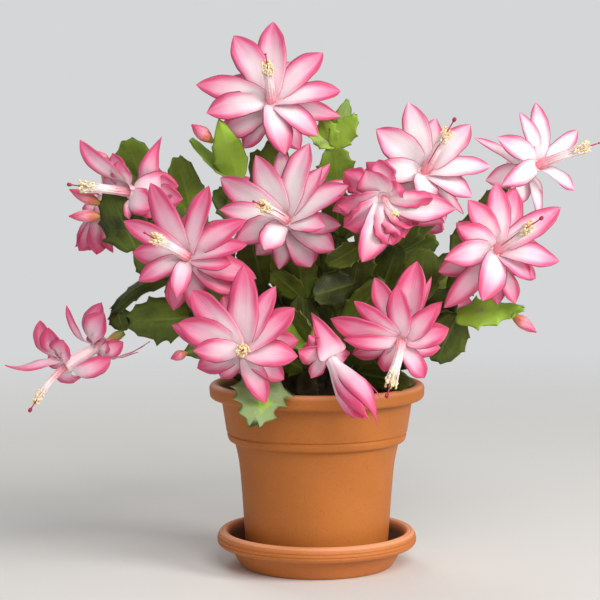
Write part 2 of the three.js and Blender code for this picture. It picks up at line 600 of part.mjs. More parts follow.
for (const [name, flower] of Object.entries(FLOWERS)) {
  if (!flower.closed) {
    place(plant, `flower_${name}_stamens`, "stamen", (grow) => stamens(flower, grow), flower.throat);
  }
}
for (const [name, flower] of Object.entries(FLOWERS)) {
  place(plant, `flower_${name}_petals`, "petal", (grow) => petals(flower, grow), flower.seat);
}
for (const [name, shape] of Object.entries(BUDS)) {
  place(plant, `bud_${name}`, "bud", (grow) => bud(shape, grow), shape.seat);
}
for (const [name, chains] of Object.entries(BRANCHES)) {
  place(plant, `branch_${name}`, "stem", (grow) => branch(chains, grow), chains[0][0]);
}
place(plant, "soil", "soil", soil);

export default object;
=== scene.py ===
import bpy
import numpy as np
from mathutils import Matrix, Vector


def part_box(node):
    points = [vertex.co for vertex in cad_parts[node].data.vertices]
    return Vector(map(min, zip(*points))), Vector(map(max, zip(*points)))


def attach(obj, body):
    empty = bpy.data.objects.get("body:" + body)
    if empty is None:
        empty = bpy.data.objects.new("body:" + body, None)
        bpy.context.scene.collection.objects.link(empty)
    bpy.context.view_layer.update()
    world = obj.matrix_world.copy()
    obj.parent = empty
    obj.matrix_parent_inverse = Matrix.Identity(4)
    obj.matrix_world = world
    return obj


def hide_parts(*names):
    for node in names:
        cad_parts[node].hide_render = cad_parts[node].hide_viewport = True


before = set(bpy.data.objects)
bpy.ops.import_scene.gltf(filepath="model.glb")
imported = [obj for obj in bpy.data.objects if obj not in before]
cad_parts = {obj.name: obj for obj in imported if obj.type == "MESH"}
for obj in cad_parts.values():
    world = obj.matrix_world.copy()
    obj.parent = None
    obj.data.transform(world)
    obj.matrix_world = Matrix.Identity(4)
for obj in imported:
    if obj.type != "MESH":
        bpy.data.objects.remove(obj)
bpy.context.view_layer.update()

# A holiday cactus in flower, in a moulded plastic pot on its saucer. Shapes are worked out in
# millimetres. The plant's own places are measured from the middle of the soil's top, X to the right,
# Z up, and the front of the plant looks along -Y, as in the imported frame.

MM = 0.001
SOIL_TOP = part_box("soil")[1].z / MM
FULL_TURN = 6.28
DRAW = np.random.default_rng(11)

# ---------------------------------------------------------------- layout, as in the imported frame

# seat = tip of the stem segment that carries the flower, throat = middle of its mouth, axis = where it
# faces, stigma = tip of the style from the throat, gap = distance between its two rings of petals, and
# closed = length and radius of a trumpet of petals that are still wrapped round each other.
# A petal is (angle round the axis, reach away from the axis, width, rise along the axis).
FLOWERS = {
    "top": dict(
        seat=(-27, 6, 158), throat=(-27, -20, 183), axis=(0.05, -0.93, 0.36), stigma=(-3, -16, 25), gap=13,
        inner=[(90, 49, 16, 2), (117, 44, 15, 5), (45, 42, 14, 4), (4, 41, 13, 1), (323, 35, 13, -2),
            (279, 34, 15, -4), (192, 39, 13, -2), (166, 45, 13, 1)],
        outer=[(351, 42, 13, -2), (306, 30, 13, -7), (234, 27, 11, -11), (211, 33, 14, -5), (140, 33, 13, -6),
            (68, 34, 13, -6)],
    ),
    "centre": dict(
        seat=(-11, -25, 97), throat=(-19, -50, 114), axis=(-0.22, -0.93, 0.28), stigma=(-17, -27, 11), gap=13,
        inner=[(118, 42, 16, 4), (80, 46, 15, 4), (53, 37, 11, 6), (27, 42, 14, 3), (352, 26, 12, 6),
            (240, 22, 13, 6), (205, 31, 13, 3), (173, 38, 11, 6), (152, 47, 14, 1)],
        outer=[(99, 48, 12, -6), (61, 43, 10, -3), (43, 42, 11, -5), (0, 29, 12, -6), (335, 29, 14, -8),
            (300, 26, 15, -9), (258, 26, 10, -9), (222, 27, 14, -8), (135, 34, 13, -8)],
    ),
    "left": dict(
        seat=(-66, -41, 79), throat=(-75, -68, 94), axis=(-0.22, -0.93, 0.28), stigma=(-21, -24, 14), gap=13,
        inner=[(120, 48, 14, 4), (72, 42, 13, 4), (35, 40, 13, 3), (11, 37, 10, 4), (350, 28, 12, 3),
            (266, 26, 10, 4), (209, 31, 10, 1), (177, 32, 12, 0), (151, 42, 11, 5)],
        outer=[(245, 30, 12, -8), (280, 29, 12, -8), (329, 31, 14, -7), (352, 38, 14, -6), (55, 32, 13, -8),
            (98, 34, 13, -8), (192, 30, 12, -8)],
    ),
    "upper_left": dict(
        seat=(-85, -8, 118), throat=(-114, -22, 129), axis=(-0.9, -0.42, 0.12), stigma=(-30, -8, 4), gap=17,
        inner=[(90, 27, 11, 31), (68, 19, 13, 8), (28, 11, 14, -29), (330, 16, 14, -14), (288, 17, 5, -2),
            (165, 26, 12, 5), (120, 26, 12, 6)],
        outer=[(87, 35, 14, -3), (17, 19, 14, -9), (356, 21, 13, -13), (311, 19, 13, 2), (225, 18, 12, -6),
            (140, 26, 13, -8)],
    ),
    "hanging_left": dict(
        seat=(-127, 15, 141), throat=(-133, 17, 110), axis=(-0.15, 0.05, -0.98), stigma=(0, 1, -17), gap=9,
        inner=[(15, 12, 12, 20), (75, 11, 12, 21), (135, 12, 12, 19), (195, 13, 12, 18), (255, 12, 12, 21),
            (315, 11, 12, 20)],
        outer=[(200, 15, 10, 5), (250, 15, 10, 6), (300, 14, 10, 6), (20, 9, 8, 9)],
    ),
    "far_left": dict(
        seat=(-115, -15, 45), throat=(-152, -21, 24), axis=(-0.86, -0.16, -0.49), stigma=(-17, -8, -23),
        gap=22,
        inner=[(91, 18, 11, 29), (92, 31, 11, -3), (80, 26, 12, -4), (56, 19, 13, -9), (317, 11, 10, -27),
            (225, 19, 12, -2), (150, 24, 12, 1)],
        outer=[(68, 17, 14, -17), (100, 22, 12, -18), (101, 31, 5, 0), (328, 9, 9, -17), (270, 13, 4, -32),
            (250, 17, 4, -22), (180, 20, 12, -8)],
    ),
    "lower_left": dict(
        seat=(-39, -60, 31), throat=(-43, -88, 42), axis=(-0.05, -0.97, 0.2), stigma=(2, -31, 4), gap=12,
        inner=[(84, 49, 16, 2), (128, 44, 15, 3), (153, 39, 15, 1), (177, 27, 12, 2), (352, 32, 14, 3),
            (36, 38, 13, 4), (61, 41, 11, 5)],
        outer=[(161, 44, 13, -4), (199, 28, 12, -7), (296, 31, 12, -6), (328, 27, 12, -8), (18, 32, 14, -6),
            (105, 36, 14, -8), (226, 19, 10, -9)],
    ),
    "drooping": dict(
        seat=(-2, -60, 50), throat=(9, -79, 33), axis=(0.53, -0.4, -0.75), stigma=(12, -9, -17), gap=8,
        inner=[],
        outer=[(128, 19, 15, -19), (182, 20, 12, -6), (262, 17, 9, 5), (355, 21, 9, 2), (152, 17, 8, -9)],
        closed=(44, 11.5),
    ),
    "lower_right": dict(
        seat=(42, -38, 49), throat=(48, -66, 44), axis=(0.06, -0.98, -0.14), stigma=(-9, -18, -27), gap=13,
        inner=[(161, 44, 13, 2), (179, 34, 9, 4), (133, 38, 10, 5), (100, 35, 12, 4), (51, 31, 11, 7),
            (16, 28, 12, 2), (299, 25, 10, 1)],
        outer=[(113, 38, 11, -3), (80, 45, 15, -4), (62, 40, 5, -1), (38, 32, 9, -4), (205, 29, 12, -7),
            (250, 24, 12, -8), (340, 26, 12, -8)],
    ),
    "upper_right": dict(
        seat=(58, -4, 127), throat=(63, -32, 142), axis=(0.08, -0.94, 0.32), stigma=(15, -14, 28), gap=13,
        inner=[(140, 37, 16, 5), (105, 41, 14, 5), (41, 38, 14, 5), (2, 38, 12, 3), (332, 32, 13, 1),
            (266, 23, 14, 7), (189, 34, 13, 2)],
        outer=[(77, 38, 11, -3), (61, 37, 9, -4), (317, 33, 6, -3), (297, 29, 12, -6), (225, 27, 13, -8),
            (174, 37, 12, -4), (20, 30, 12, -8)],
    ),
    "ruffled": dict(
        seat=(34, -34, 113), throat=(38, -62, 125), axis=(0.16, -0.86, -0.48), stigma=(8, -9, -10), gap=8,
        inner=[(188, 27, 19, 1), (221, 28, 18, 2), (253, 36, 18, 13), (286, 27, 18, 6), (305, 26, 15, 6),
            (328, 26, 14, 2), (353, 43, 15, 2), (12, 27, 9, 5), (122, 24, 17, 2), (70, 14, 13, 1)],
        outer=[(204, 30, 17, -3), (270, 31, 16, 0), (335, 46, 12, -2), (96, 20, 14, -5), (155, 25, 15, -5)],
    ),
    "far_right": dict(
        seat=(114, 13, 130), throat=(134, -6, 145), axis=(0.5, -0.78, 0.36), stigma=(32, -8, 12), gap=15,
        inner=[(107, 33, 8, 3), (88, 38, 10, 3), (152, 35, 11, 3), (198, 38, 11, 2), (30, 36, 9, 6),
            (318, 27, 9, 0)],
        outer=[(149, 42, 5, 2), (275, 28, 7, -3), (232, 24, 13, -6), (190, 26, 12, -9), (308, 20, 9, -8),
            (60, 22, 9, -8)],
    ),
    "right": dict(
        seat=(95, -27, 86), throat=(104, -53, 97), axis=(0.2, -0.94, 0.26), stigma=(21, -21, 18), gap=13,
        inner=[(116, 33, 12, 5), (93, 38, 12, 5), (30, 45, 13, 4), (347, 36, 13, 3), (314, 25, 11, 2),
            (250, 33, 16, 2), (188, 34, 13, 3), (154, 28, 12, 5)],
        outer=[(66, 44, 15, -3), (5, 33, 11, -4), (331, 31, 12, -6), (294, 32, 10, -6), (279, 29, 12, -7),
            (230, 43, 12, -5), (196, 33, 12, -5), (135, 27, 12, -8)],
    ),
    "back_right": dict(
        seat=(50, 60, 105), throat=(57, 86, 118), axis=(0.28, 0.9, 0.34), stigma=(10, 28, 15), gap=13,
        inner=[(88, 38, 14, 3), (45, 36, 14, 4), (5, 34, 13, 3), (325, 31, 13, 1), (275, 29, 14, 0),
            (222, 31, 13, 1), (180, 35, 13, 3), (135, 37, 14, 4)],
        outer=[(66, 33, 13, -6), (20, 32, 13, -7), (340, 29, 13, -8), (295, 27, 13, -8), (245, 28, 13, -8),
            (198, 31, 13, -7), (110, 33, 13, -6)],
    ),
    "back_left": dict(
        seat=(-22, 64, 95), throat=(-27, 91, 106), axis=(-0.18, 0.93, 0.3), stigma=(-8, 29, 14), gap=13,
        inner=[(95, 39, 14, 3), (50, 37, 14, 4), (10, 35, 13, 3), (330, 31, 13, 1), (282, 28, 14, 0),
            (228, 30, 13, 1), (185, 35, 13, 3), (140, 38, 14, 4)],
        outer=[(72, 34, 13, -6), (28, 32, 13, -7), (350, 30, 13, -8), (305, 27, 13, -8), (255, 27, 13, -8),
            (205, 31, 13, -7), (118, 34, 13, -6)],
    ),
    "back_low": dict(
        seat=(57, 64, 47), throat=(70, 88, 56), axis=(0.4, 0.9, 0.16), stigma=(13, 29, 8), gap=12,
        inner=[(92, 36, 14, 3), (48, 34, 14, 4), (8, 33, 13, 3), (328, 29, 13, 1), (276, 26, 14, 0),
            (224, 29, 13, 1), (182, 33, 13, 3), (137, 35, 14, 4)],
        outer=[(70, 31, 13, -6), (25, 30, 13, -7), (346, 28, 13, -8), (300, 25, 13, -8), (250, 26, 13, -8),
            (202, 29, 13, -7), (115, 32, 13, -6)],
    ),
}

# A branch is a list of chains of flat segments. A chain starts at the point (x, y, z), and each of its
# segments is (x, y, z of its far end, width, turn about its own length in degrees).
BRANCHES = {
    "top": [
        [(-4, 6, -6), (-8, 12, 36, 13, 20), (-14, 15, 76, 22, 15), (-20, 14, 117, 24, 0),
            (-27, 7, 157, 22, -10)],
        [(-20, 14, 117), (-38, 20, 151, 20, 10)],
        [(-8, 12, 36), (8, 22, 62, 23, 15), (-2, 27, 92, 23, -15)],
    ],
    "pale_left": [
        [(-13, 2, -6), (-23, 5, 34, 13, 0), (-33, 5, 72, 22, -20), (-41, 3, 105, 22, 10),
            (-48, -2, 135, 18, 0)],
        [(-48, -2, 135), (-58, -22, 172, 21, 0)],
        [(-48, -2, 135), (-75, 3, 159, 18, 68)],
        [(-41, 3, 105), (-60, 10, 128, 20, 30)],
    ],
    "top_right": [
        [(4, 8, -6), (8, 14, 34, 13, 0), (11, 15, 70, 22, 25), (13, 11, 101, 22, 0), (13, 5, 129, 22, -15),
            (10, 0, 155, 22, 0)],
        [(10, 0, 155), (22, -6, 173, 16, 10)],
        [(10, 0, 155), (2, -6, 175, 13, -20)],
        [(10, 0, 155), (-6, -4, 164, 10, 20)],
        [(10, 0, 155), (18, 6, 182, 16, 20)],
        [(13, 11, 101), (34, 16, 128, 20, 20)],
    ],
    "centre": [
        [(-6, -10, -6), (-8, -14, 32, 13, 0), (-9, -18, 66, 21, 15), (-11, -25, 96, 20, 0)],
        [(-9, -18, 66), (-26, -14, 92, 18, 0)],
        [(-9, -18, 66), (-26, -27, 82, 15, -20)],
    ],
    "left": [
        [(-15, -7, -6), (-33, -17, 24, 13, 0), (-50, -29, 52, 22, 10), (-66, -41, 78, 20, 0)],
        [(-33, -17, 24), (-26, -20, 56, 18, 30)],
    ],
    "upper_left": [
        [(-17, 6, -6), (-36, 5, 32, 13, 0), (-55, 4, 68, 22, 15), (-72, 2, 101, 22, 0),
            (-85, -7, 117, 15, 0)],
        [(-72, 2, 101), (-84, 11, 147, 23, -10)],
        [(-36, 5, 32), (-60, 17, 62, 20, 0), (-84, 23, 94, 24, 20), (-103, 23, 126, 24, 0),
            (-115, 19, 158, 26, -10)],
        [(-103, 23, 126), (-127, 16, 141, 18, 25)],
    ],
    "far_left": [
        [(-21, 0, -6), (-44, -5, 26, 13, 0), (-70, -11, 54, 22, 0), (-88, -13, 76, 20, 20),
            (-119, -15, 59, 18, 58), (-115, -15, 46, 14, 10)],
        [(-88, -13, 76), (-108, -12, 95, 20, 0), (-122, -16, 127, 28, 0)],
    ],
    "low_left": [
        [(-17, -13, -6), (-36, -21, 18, 13, 0), (-55, -25, 40, 22, 0), (-76, -26, 55, 22, 10),
            (-109, -29, 53, 27, 0)],
        [(-55, -25, 40), (-76, -43, 36, 16, 20)],
    ],
    "lower_left": [
        [(-11, -20, -6), (-24, -38, 14, 13, 0), (-39, -59, 30, 15, 20)],
        [(-24, -38, 14), (-31, -62, 26, 14, 0), (-35, -79, 3, 30, 0)],
    ],
    "front": [
        [(-2, -18, -6), (-9, -24, 24, 13, 0), (-15, -34, 54, 18, 0), (-3, -59, 50, 19, 30)],
        [(-9, -24, 24), (-22, -46, 34, 15, 20)],
        [(-15, -34, 54), (-10, -49, 38, 15, -15)],
    ],
    "lower_right": [
        [(12, -15, -6), (26, -24, 22, 13, 0), (42, -37, 48, 19, 0)],
        [(26, -24, 22), (54, -44, 19, 18, 15)],
    ],
    "upper_right": [
        [(11, 7, -6), (23, 10, 28, 13, 0), (37, 10, 62, 22, -15), (49, 6, 96, 23, 0), (58, -3, 126, 20, 10)],
        [(49, 6, 96), (72, 8, 124, 20, 0)],
    ],
    "middle": [
        [(8, -5, -6), (14, -9, 22, 13, 0), (18, -13, 50, 22, 10), (22, -15, 74, 23, -10),
            (26, -20, 97, 21, -10), (34, -34, 113, 17, 0)],
        [(22, -15, 74), (-2, -25, 68, 22, 0)],
        [(26, -20, 97), (6, -29, 86, 17, 40)],
        [(18, -13, 50), (38, -24, 77, 19, 15)],
    ],
    "right": [
        [(17, -3, -6), (38, -6, 22, 13, 0), (60, -10, 47, 23, 0), (80, -17, 69, 23, 10),
            (95, -27, 85, 19, 0)],
        [(38, -6, 22), (47, -19, 45, 20, 0), (60, -25, 66, 20, 20), (63, -28, 95, 23, -10)],
        [(60, -10, 47), (82, -26, 55, 18, 20), (117, -31, 60, 21, -44)],
        [(82, -26, 55), (71, -21, 29, 25, 0)],
    ],
    "far_right": [
        [(18, 5, -6), (41, 9, 26, 13, 0), (64, 12, 58, 22, 0), (85, 14, 88, 22, 10), (100, 15, 112, 20, 0),
            (114, 13, 129, 16, 0)],
        [(64, 12, 58), (92, 16, 72, 20, 10)],
    ],
    "back_right": [
        [(9, 17, -6), (20, 28, 28, 13, 0), (33, 39, 58, 22, 0), (43, 49, 83, 22, 15), (50, 60, 104, 18, 0)],
        [(20, 28, 28), (38, 46, 36, 20, 0), (57, 64, 46, 18, 20)],
        [(33, 39, 58), (14, 52, 84, 22, 0)],
        [(43, 49, 83), (74, 44, 96, 22, 30)],
    ],
    "back_left": [
        [(-6, 18, -6), (-12, 29, 28, 13, 0), (-18, 42, 60, 22, 0), (-22, 64, 94, 20, 0)],
        [(-12, 29, 28), (-34, 46, 48, 22, 20), (-56, 54, 76, 24, 0), (-72, 50, 106, 22, 0)],
        [(-34, 46, 48), (-44, 68, 28, 22, 0)],
        [(-18, 42, 60), (2, 62, 66, 20, 0)],
    ],
}

# A bud grows from its seat to its tip, and radius is half its width where it is widest.
BUDS = {
    "top_left": dict(seat=(-62, -13, 158), tip=(-74, -17, 168), radius=4.4),
    "left_upper": dict(seat=(-128, -15, 121), tip=(-146, -20, 130), radius=4),
    "left_lower": dict(seat=(-127, -14, 114), tip=(-147, -16, 114), radius=3.8),
    "upper_left": dict(seat=(-125.5, 18, 144.5), tip=(-134, 12, 152), radius=3),
    "low_left": dict(seat=(-76, -44, 36), tip=(-85, -49, 33), radius=3.2),
    "right": dict(seat=(114, -31, 57), tip=(128, -36, 47), radius=3.9),
}

# How the flowers differ: flush is how pink one is all over, and ruffle how crumpled its petals are, which
# is 1 where it isn't given.
FLUSH = {
    "top": 0.35, "centre": 0.05, "left": 0.7, "upper_left": 0.55, "hanging_left": 0.8, "far_left": 0.75,
    "lower_left": 0.65, "drooping": 0.7, "lower_right": 0.8, "upper_right": -0.1, "ruffled": 0.75,
    "far_right": -0.1, "right": 0.5, "back_right": 0.4, "back_left": 0.45, "back_low": 0.4,
}
RUFFLE = {"ruffled": 2.2, "drooping": 1.4}

# Petals of a ruffled flower that stayed smooth and pale, counted from 0 round the inner ring and on round
# the outer one.
SMOOTH_PETALS = {"ruffled": {2, 6, 8, 12}}

# ---------------------------------------------------------------- arrays of points into meshes


def unit(v):
    """Each vector divided by its length."""
    return v / np.maximum(np.linalg.norm(v, axis=-1, keepdims=True), 1e-9)


def smooth(low, high, x):
    """0 below low, 1 above high, and 3t^2 - 2t^3 between them."""
    t = np.clip((x - low) / (high - low), 0, 1)
    return t * t * (3 - 2 * t)


def bezier(a, b, c, d, t):
    """Cubic curve from a to d, leaving towards b and arriving from c, at the shares t."""
    t = np.asarray(t)[:, None]
    return a * (1 - t) ** 3 + b * 3 * t * (1 - t) ** 2 + c * 3 * t**2 * (1 - t) + d * t**3


def arc(a, b, c, t):
    """Quadratic curve from a to c that bends towards b, at the shares t."""
    return a * (1 - t) ** 2 + b * 2 * t * (1 - t) + c * t**2


def angles(sides):
    """The angles at which a ring's points stand."""
    return np.arange(sides) * 2 * np.pi / sides


def resampled(line, places, at):
    """A line's points at other places along it, each straight between its two neighbours."""
    return np.stack([np.interp(at, places, line[:, i]) for i in range(3)], -1)


def add_object(name, data):
    """A new object in the scene, at the origin."""
    made = bpy.data.objects.new(name, data)
    bpy.context.scene.collection.objects.link(made)
    return made


class Piece:
    """Gathers closed skins of rings into one mesh, with a UV map and two numbers for each vertex, shade and
    age, which the materials read."""

    def __init__(self):
        self.points, self.uv, self.shade, self.age = [], [], [], []
        self.quads, self.caps, self.worn, self.caps_worn = [], [], [], []
        self.count = 0

    def skin(self, rings, uv, shade=0.0, age=0.0, material=0):
        """rings is (..., K, S, 3): K closed rings of S points each, in order along the skin. Neighbouring
        rings are joined by four-sided faces and the two end rings are closed by one face each. shade and
        age are one number, or one for each point, and material is a place in the list given to finish."""
        rings = np.asarray(rings, float)
        along, around = rings.shape[-3:-1]
        batch = rings.reshape(-1, along * around, 3)
        grid = np.arange(along * around).reshape(along, around)
        step = np.roll(grid, -1, axis=1)
        quads = np.stack([grid[:-1], step[:-1], step[1:], grid[1:]], -1).reshape(-1, 4)
        start = self.count + np.arange(len(batch))[:, None, None] * along * around
        self.quads.append((quads[None] + start).reshape(-1, 4))
        self.worn.append(np.full(len(quads) * len(batch), material))
        ends = np.stack([grid[0][::-1], grid[-1]])
        self.caps += [row.tolist() for row in (ends[None] + start).reshape(-1, around)]
        self.caps_worn.append(np.full(2 * len(batch), material))
        self.points.append(batch.reshape(-1, 3))
        full = (len(batch), along * around)
        self.uv.append(np.broadcast_to(np.reshape(uv, (-1, along * around, 2)), (*full, 2)).reshape(-1, 2))
        for kept, value in ((self.shade, shade), (self.age, age)):
            kept.append(np.broadcast_to(value, rings.shape[:-1]).reshape(-1))
        self.count += full[0] * full[1]

    def finish(self, name, materials, stands_for=(), lift=0.0):
        """Makes the mesh object, moved up by lift and scaled to metres, which rides on the part's one body
        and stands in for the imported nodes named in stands_for."""
        mesh = bpy.data.meshes.new(name)
        points = (np.concatenate(self.points) + [0, 0, lift]) * MM
        faces = np.concatenate(self.quads).tolist() + self.caps
        mesh.from_pydata(points, [], faces)
        worn = np.concatenate(self.worn + self.caps_worn).astype(np.int32)
        mesh.polygons.foreach_set("material_index", worn)
        mesh.polygons.foreach_set("use_smooth", np.ones(len(faces), bool))
        corners = np.empty(len(mesh.loops), np.int32)
        mesh.loops.foreach_get("vertex_index", corners)
        layer = mesh.uv_layers.new(name="petal")
        layer.uv.foreach_set("vector", np.concatenate(self.uv)[corners].astype(np.float32).ravel())
        for label, values in (("shade", self.shade), ("age", self.age)):
            made = mesh.attributes.new(label, "FLOAT", "POINT")
            made.data.foreach_set("value", np.concatenate(values).astype(np.float32))
        for material in materials:
            mesh.materials.append(material)
        mesh.update()
        piece = add_object(name, mesh)
        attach(piece, "root")
        if stands_for:
            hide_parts(*stands_for)


def pipe(line, radius, sides, hint):
    """Round rings along lines of points (..., K, 3): across is square to hint and to the line, over is
    square to both, and ring point i is line + radius * (cos i across + sin i over). The radius is one
    number for each point of the line, or one for each point of its rings."""
    line = np.asarray(line, float)
    ahead = unit(np.gradient(line, axis=-2))
    across = unit(np.cross(hint, ahead))
    over = np.cross(ahead, across)
    turn = angles(sides)
    ring = across[..., None, :] * np.cos(turn)[:, None] + over[..., None, :] * np.sin(turn)[:, None]
    radius = np.asarray(radius)
    radius = radius[..., None] if radius.ndim < ring.ndim - 1 else radius
    return line[..., None, :] + ring * radius[..., None]


def pipe_uv(along, sides):
    """UV of a pipe: u runs out and back round the ring, so it has no seam, and v is the share along."""
    around = np.arange(sides) / sides
    u = 0.5 + np.abs(around - 0.5) - 0.25
    return np.stack(np.broadcast_arrays(u[None, :], np.asarray(along)[:, None]), -1)


def sheet_loop(across_count):
    """Across shares from -1 to 1 over the top and back underneath, and the side of each: 1 top, -1 under,
    0 on the two edges, so that both faces of a thin leaf share their edges."""
    top = np.linspace(-1, 1, across_count)
    loop = np.concatenate([top, top[-2:0:-1]])
    side = np.concatenate([np.ones(across_count), -np.ones(across_count - 2)])
    side[[0, across_count - 1]] = 0
    return loop, side


def sheet_uv(u, v):
    """UV of a leaf, the same on both of its faces: the share across from 0 to 1, and the share along."""
    return np.stack(np.broadcast_arrays((u + 1) / 2, v), -1)


def bumps(points, scale, seed, octaves=3):
    """Smooth noise about -1 to 1: sums of sines along random directions, each octave twice as fine and
    half as high as the last."""
    source = np.random.default_rng(seed)
    total = np.zeros(points.shape[:-1])
    for octave in range(octaves):
        ways = unit(source.normal(size=(6, 3))) * (2 * np.pi * 2**octave / scale)
        waves = np.sin(points @ ways.T + source.uniform(0, 2 * np.pi, 6))
        total += waves.sum(-1) / 6 * 1.6 / 2**octave
    return total / 1.75


# ---------------------------------------------------------------- shader building blocks


def linear(red, green, blue):
    """A colour written as 0-255 screen values, as linear light with full alpha."""
    c = np.array([red, green, blue]) / 255
    return (*np.where(c <= 0.04045, c / 12.92, ((c + 0.055) / 1.055) ** 2.4), 1.0)


class Nodes:
    """Short calls that add nodes to one tree and return the output socket."""

    def __init__(self, tree):
        self.tree = tree

    def put(self, socket, value):
        """Links a socket to an output, or gives it a constant."""
        if isinstance(value, bpy.types.NodeSocket):
            self.tree.links.new(value, socket)
        else:
            socket.default_value = value

    def add(self, kind, settings=None, **inputs):
        """A node with its settings, and its inputs by name or, as i0, i1 and so on, by place."""
        node = self.tree.nodes.new(kind)
        for key, value in (settings or {}).items():
            setattr(node, key, value)
        for key, value in inputs.items():
            by_place = key[0] == "i" and key[1:].isdigit()
            self.put(node.inputs[int(key[1:]) if by_place else key], value)
        return node

    def maths(self, operation, *values, clamp=False):
        inputs = {f"i{place}": value for place, value in enumerate(values)}
        return self.add("ShaderNodeMath", {"operation": operation, "use_clamp": clamp}, **inputs).outputs[0]

    def times(self, a, b):
        return self.maths("MULTIPLY", a, b)

    def plus(self, a, b, clamp=False):
        return self.maths("ADD", a, b, clamp=clamp)

    def range(self, value, low, high, to_low=0.0, to_high=1.0, kind="SMOOTHSTEP"):
        """A value from low to high spread from to_low to to_high, and held at these beyond them."""
        node = self.add("ShaderNodeMapRange", {"interpolation_type": kind}, Value=value)
        for key, number in zip(("From Min", "From Max", "To Min", "To Max"), (low, high, to_low, to_high)):
            node.inputs[key].default_value = number
        return node.outputs[0]

    def mix(self, share, a, b):
        """The colour a where share is 0 and b where it is 1."""
        settings = {"data_type": "RGBA", "clamp_factor": True}
        return self.add("ShaderNodeMix", settings, i0=share, i6=a, i7=b).outputs[2]

    def noise(self, scale, detail, vector=None):
        """Noise on the given vector, or on the piece's own place."""
        where = vector or self.add("ShaderNodeTexCoord").outputs["Object"]
        node = self.add("ShaderNodeTexNoise", Vector=where, Scale=scale, Detail=detail, Roughness=0.55)
        return node.outputs["Fac"]

    def mottle(self, scale, detail, low, high, *spread):
        """Noise over a piece, with its values from low to high spread as range spreads them."""
        return self.range(self.noise(scale, detail), low, high, *spread)

    def ramp(self, value, *stops):
        """Colours between stops, each of which is (place, red, green, blue)."""
        node = self.add("ShaderNodeValToRGB", Fac=value)
        ramp = node.color_ramp
        while len(ramp.elements) < len(stops):
            ramp.elements.new(0.5)
        for element, (place, *colour) in zip(ramp.elements, stops):
            element.position = place
            element.color = linear(*colour)
        return node.outputs[0]

    def attribute(self, name):
        return self.add("ShaderNodeAttribute", {"attribute_name": name}).outputs["Fac"]

    def bump(self, height, strength, distance):
        return self.add("ShaderNodeBump", Height=height, Strength=strength, Distance=distance).outputs[0]


def new_material(name):
    """A material, short calls for its nodes, and its shader."""
    material = bpy.data.materials.new(name)
    material.use_nodes = True
    nodes = Nodes(material.node_tree)
    return material, nodes, material.node_tree.nodes["Principled BSDF"]


def wear(nodes, shader, colour, roughness, normal=None, **constants):
    """Gives a material's shader its colour, roughness and normal, and sets its constant sockets."""
    for name, value in (("Base Color", colour), ("Roughness", roughness), ("Normal", normal)):
        if value is not None:
            nodes.put(shader.inputs[name], value)
    for name, value in constants.items():
        shader.inputs[name.replace("_", " ")].default_value = value


def new_group(name, inputs, outputs):
    """An empty shader group with float inputs (name: default) and outputs (name: socket kind)."""
    tree = bpy.data.node_groups.new(name, "ShaderNodeTree")
    for label, value in inputs.items():
        socket = tree.interface.new_socket(label, in_out="INPUT", socket_type="NodeSocketFloat")
        socket.default_value = value
    for label, kind in outputs.items():
        tree.interface.new_socket(label, in_out="OUTPUT", socket_type=kind)
    return Nodes(tree), tree.nodes.new("NodeGroupInput"), tree.nodes.new("NodeGroupOutput")


def leaf_lines_group():
    """Masks that follow a thin leaf's own UV map, used by petals, buds and stem segments: Edge rises from
    the middle to both edges, Along runs from base to tip, and Veins is fine noise drawn out lengthwise."""
    nodes, asked, out = new_group(
        "leaf_lines",
        {"Fineness": 26.0},
        {"Edge": "NodeSocketFloat", "Along": "NodeSocketFloat", "Veins": "NodeSocketFloat"},
    )
    uv = nodes.add("ShaderNodeUVMap", {"uv_map": "petal"}).outputs[0]
    split = nodes.add("ShaderNodeSeparateXYZ", Vector=uv).outputs
    edge = nodes.maths("ABSOLUTE", nodes.maths("MULTIPLY_ADD", split[0], 2.0, -1.0))
    fine = nodes.times(split[0], asked.outputs["Fineness"])
    slow = nodes.times(split[1], 1.6)
    apart = nodes.times(nodes.attribute("shade"), 37.0)
    where = nodes.add("ShaderNodeCombineXYZ", X=fine, Y=slow, Z=apart).outputs[0]
    nodes.put(out.inputs["Edge"], edge)
    nodes.put(out.inputs["Along"], split[1])
    nodes.put(out.inputs["Veins"], nodes.noise(1.0, 2.0, where))
    return nodes.tree


LEAF_LINES = leaf_lines_group()


def leaf_lines(nodes, fineness):
    """The group's outputs in one material, with its own fineness of veins."""
    node = nodes.add("ShaderNodeGroup", {"node_tree": LEAF_LINES})
    node.inputs["Fineness"].default_value = fineness
    return node.outputs


# ---------------------------------------------------------------- materials of the plant

# Light that sinks into thin pink flesh: constants of the petals' tube and the buds.
FLESH = dict(Subsurface_Weight=0.2, Subsurface_Radius=(0.004, 0.002, 0.002), Subsurface_Scale=0.6)


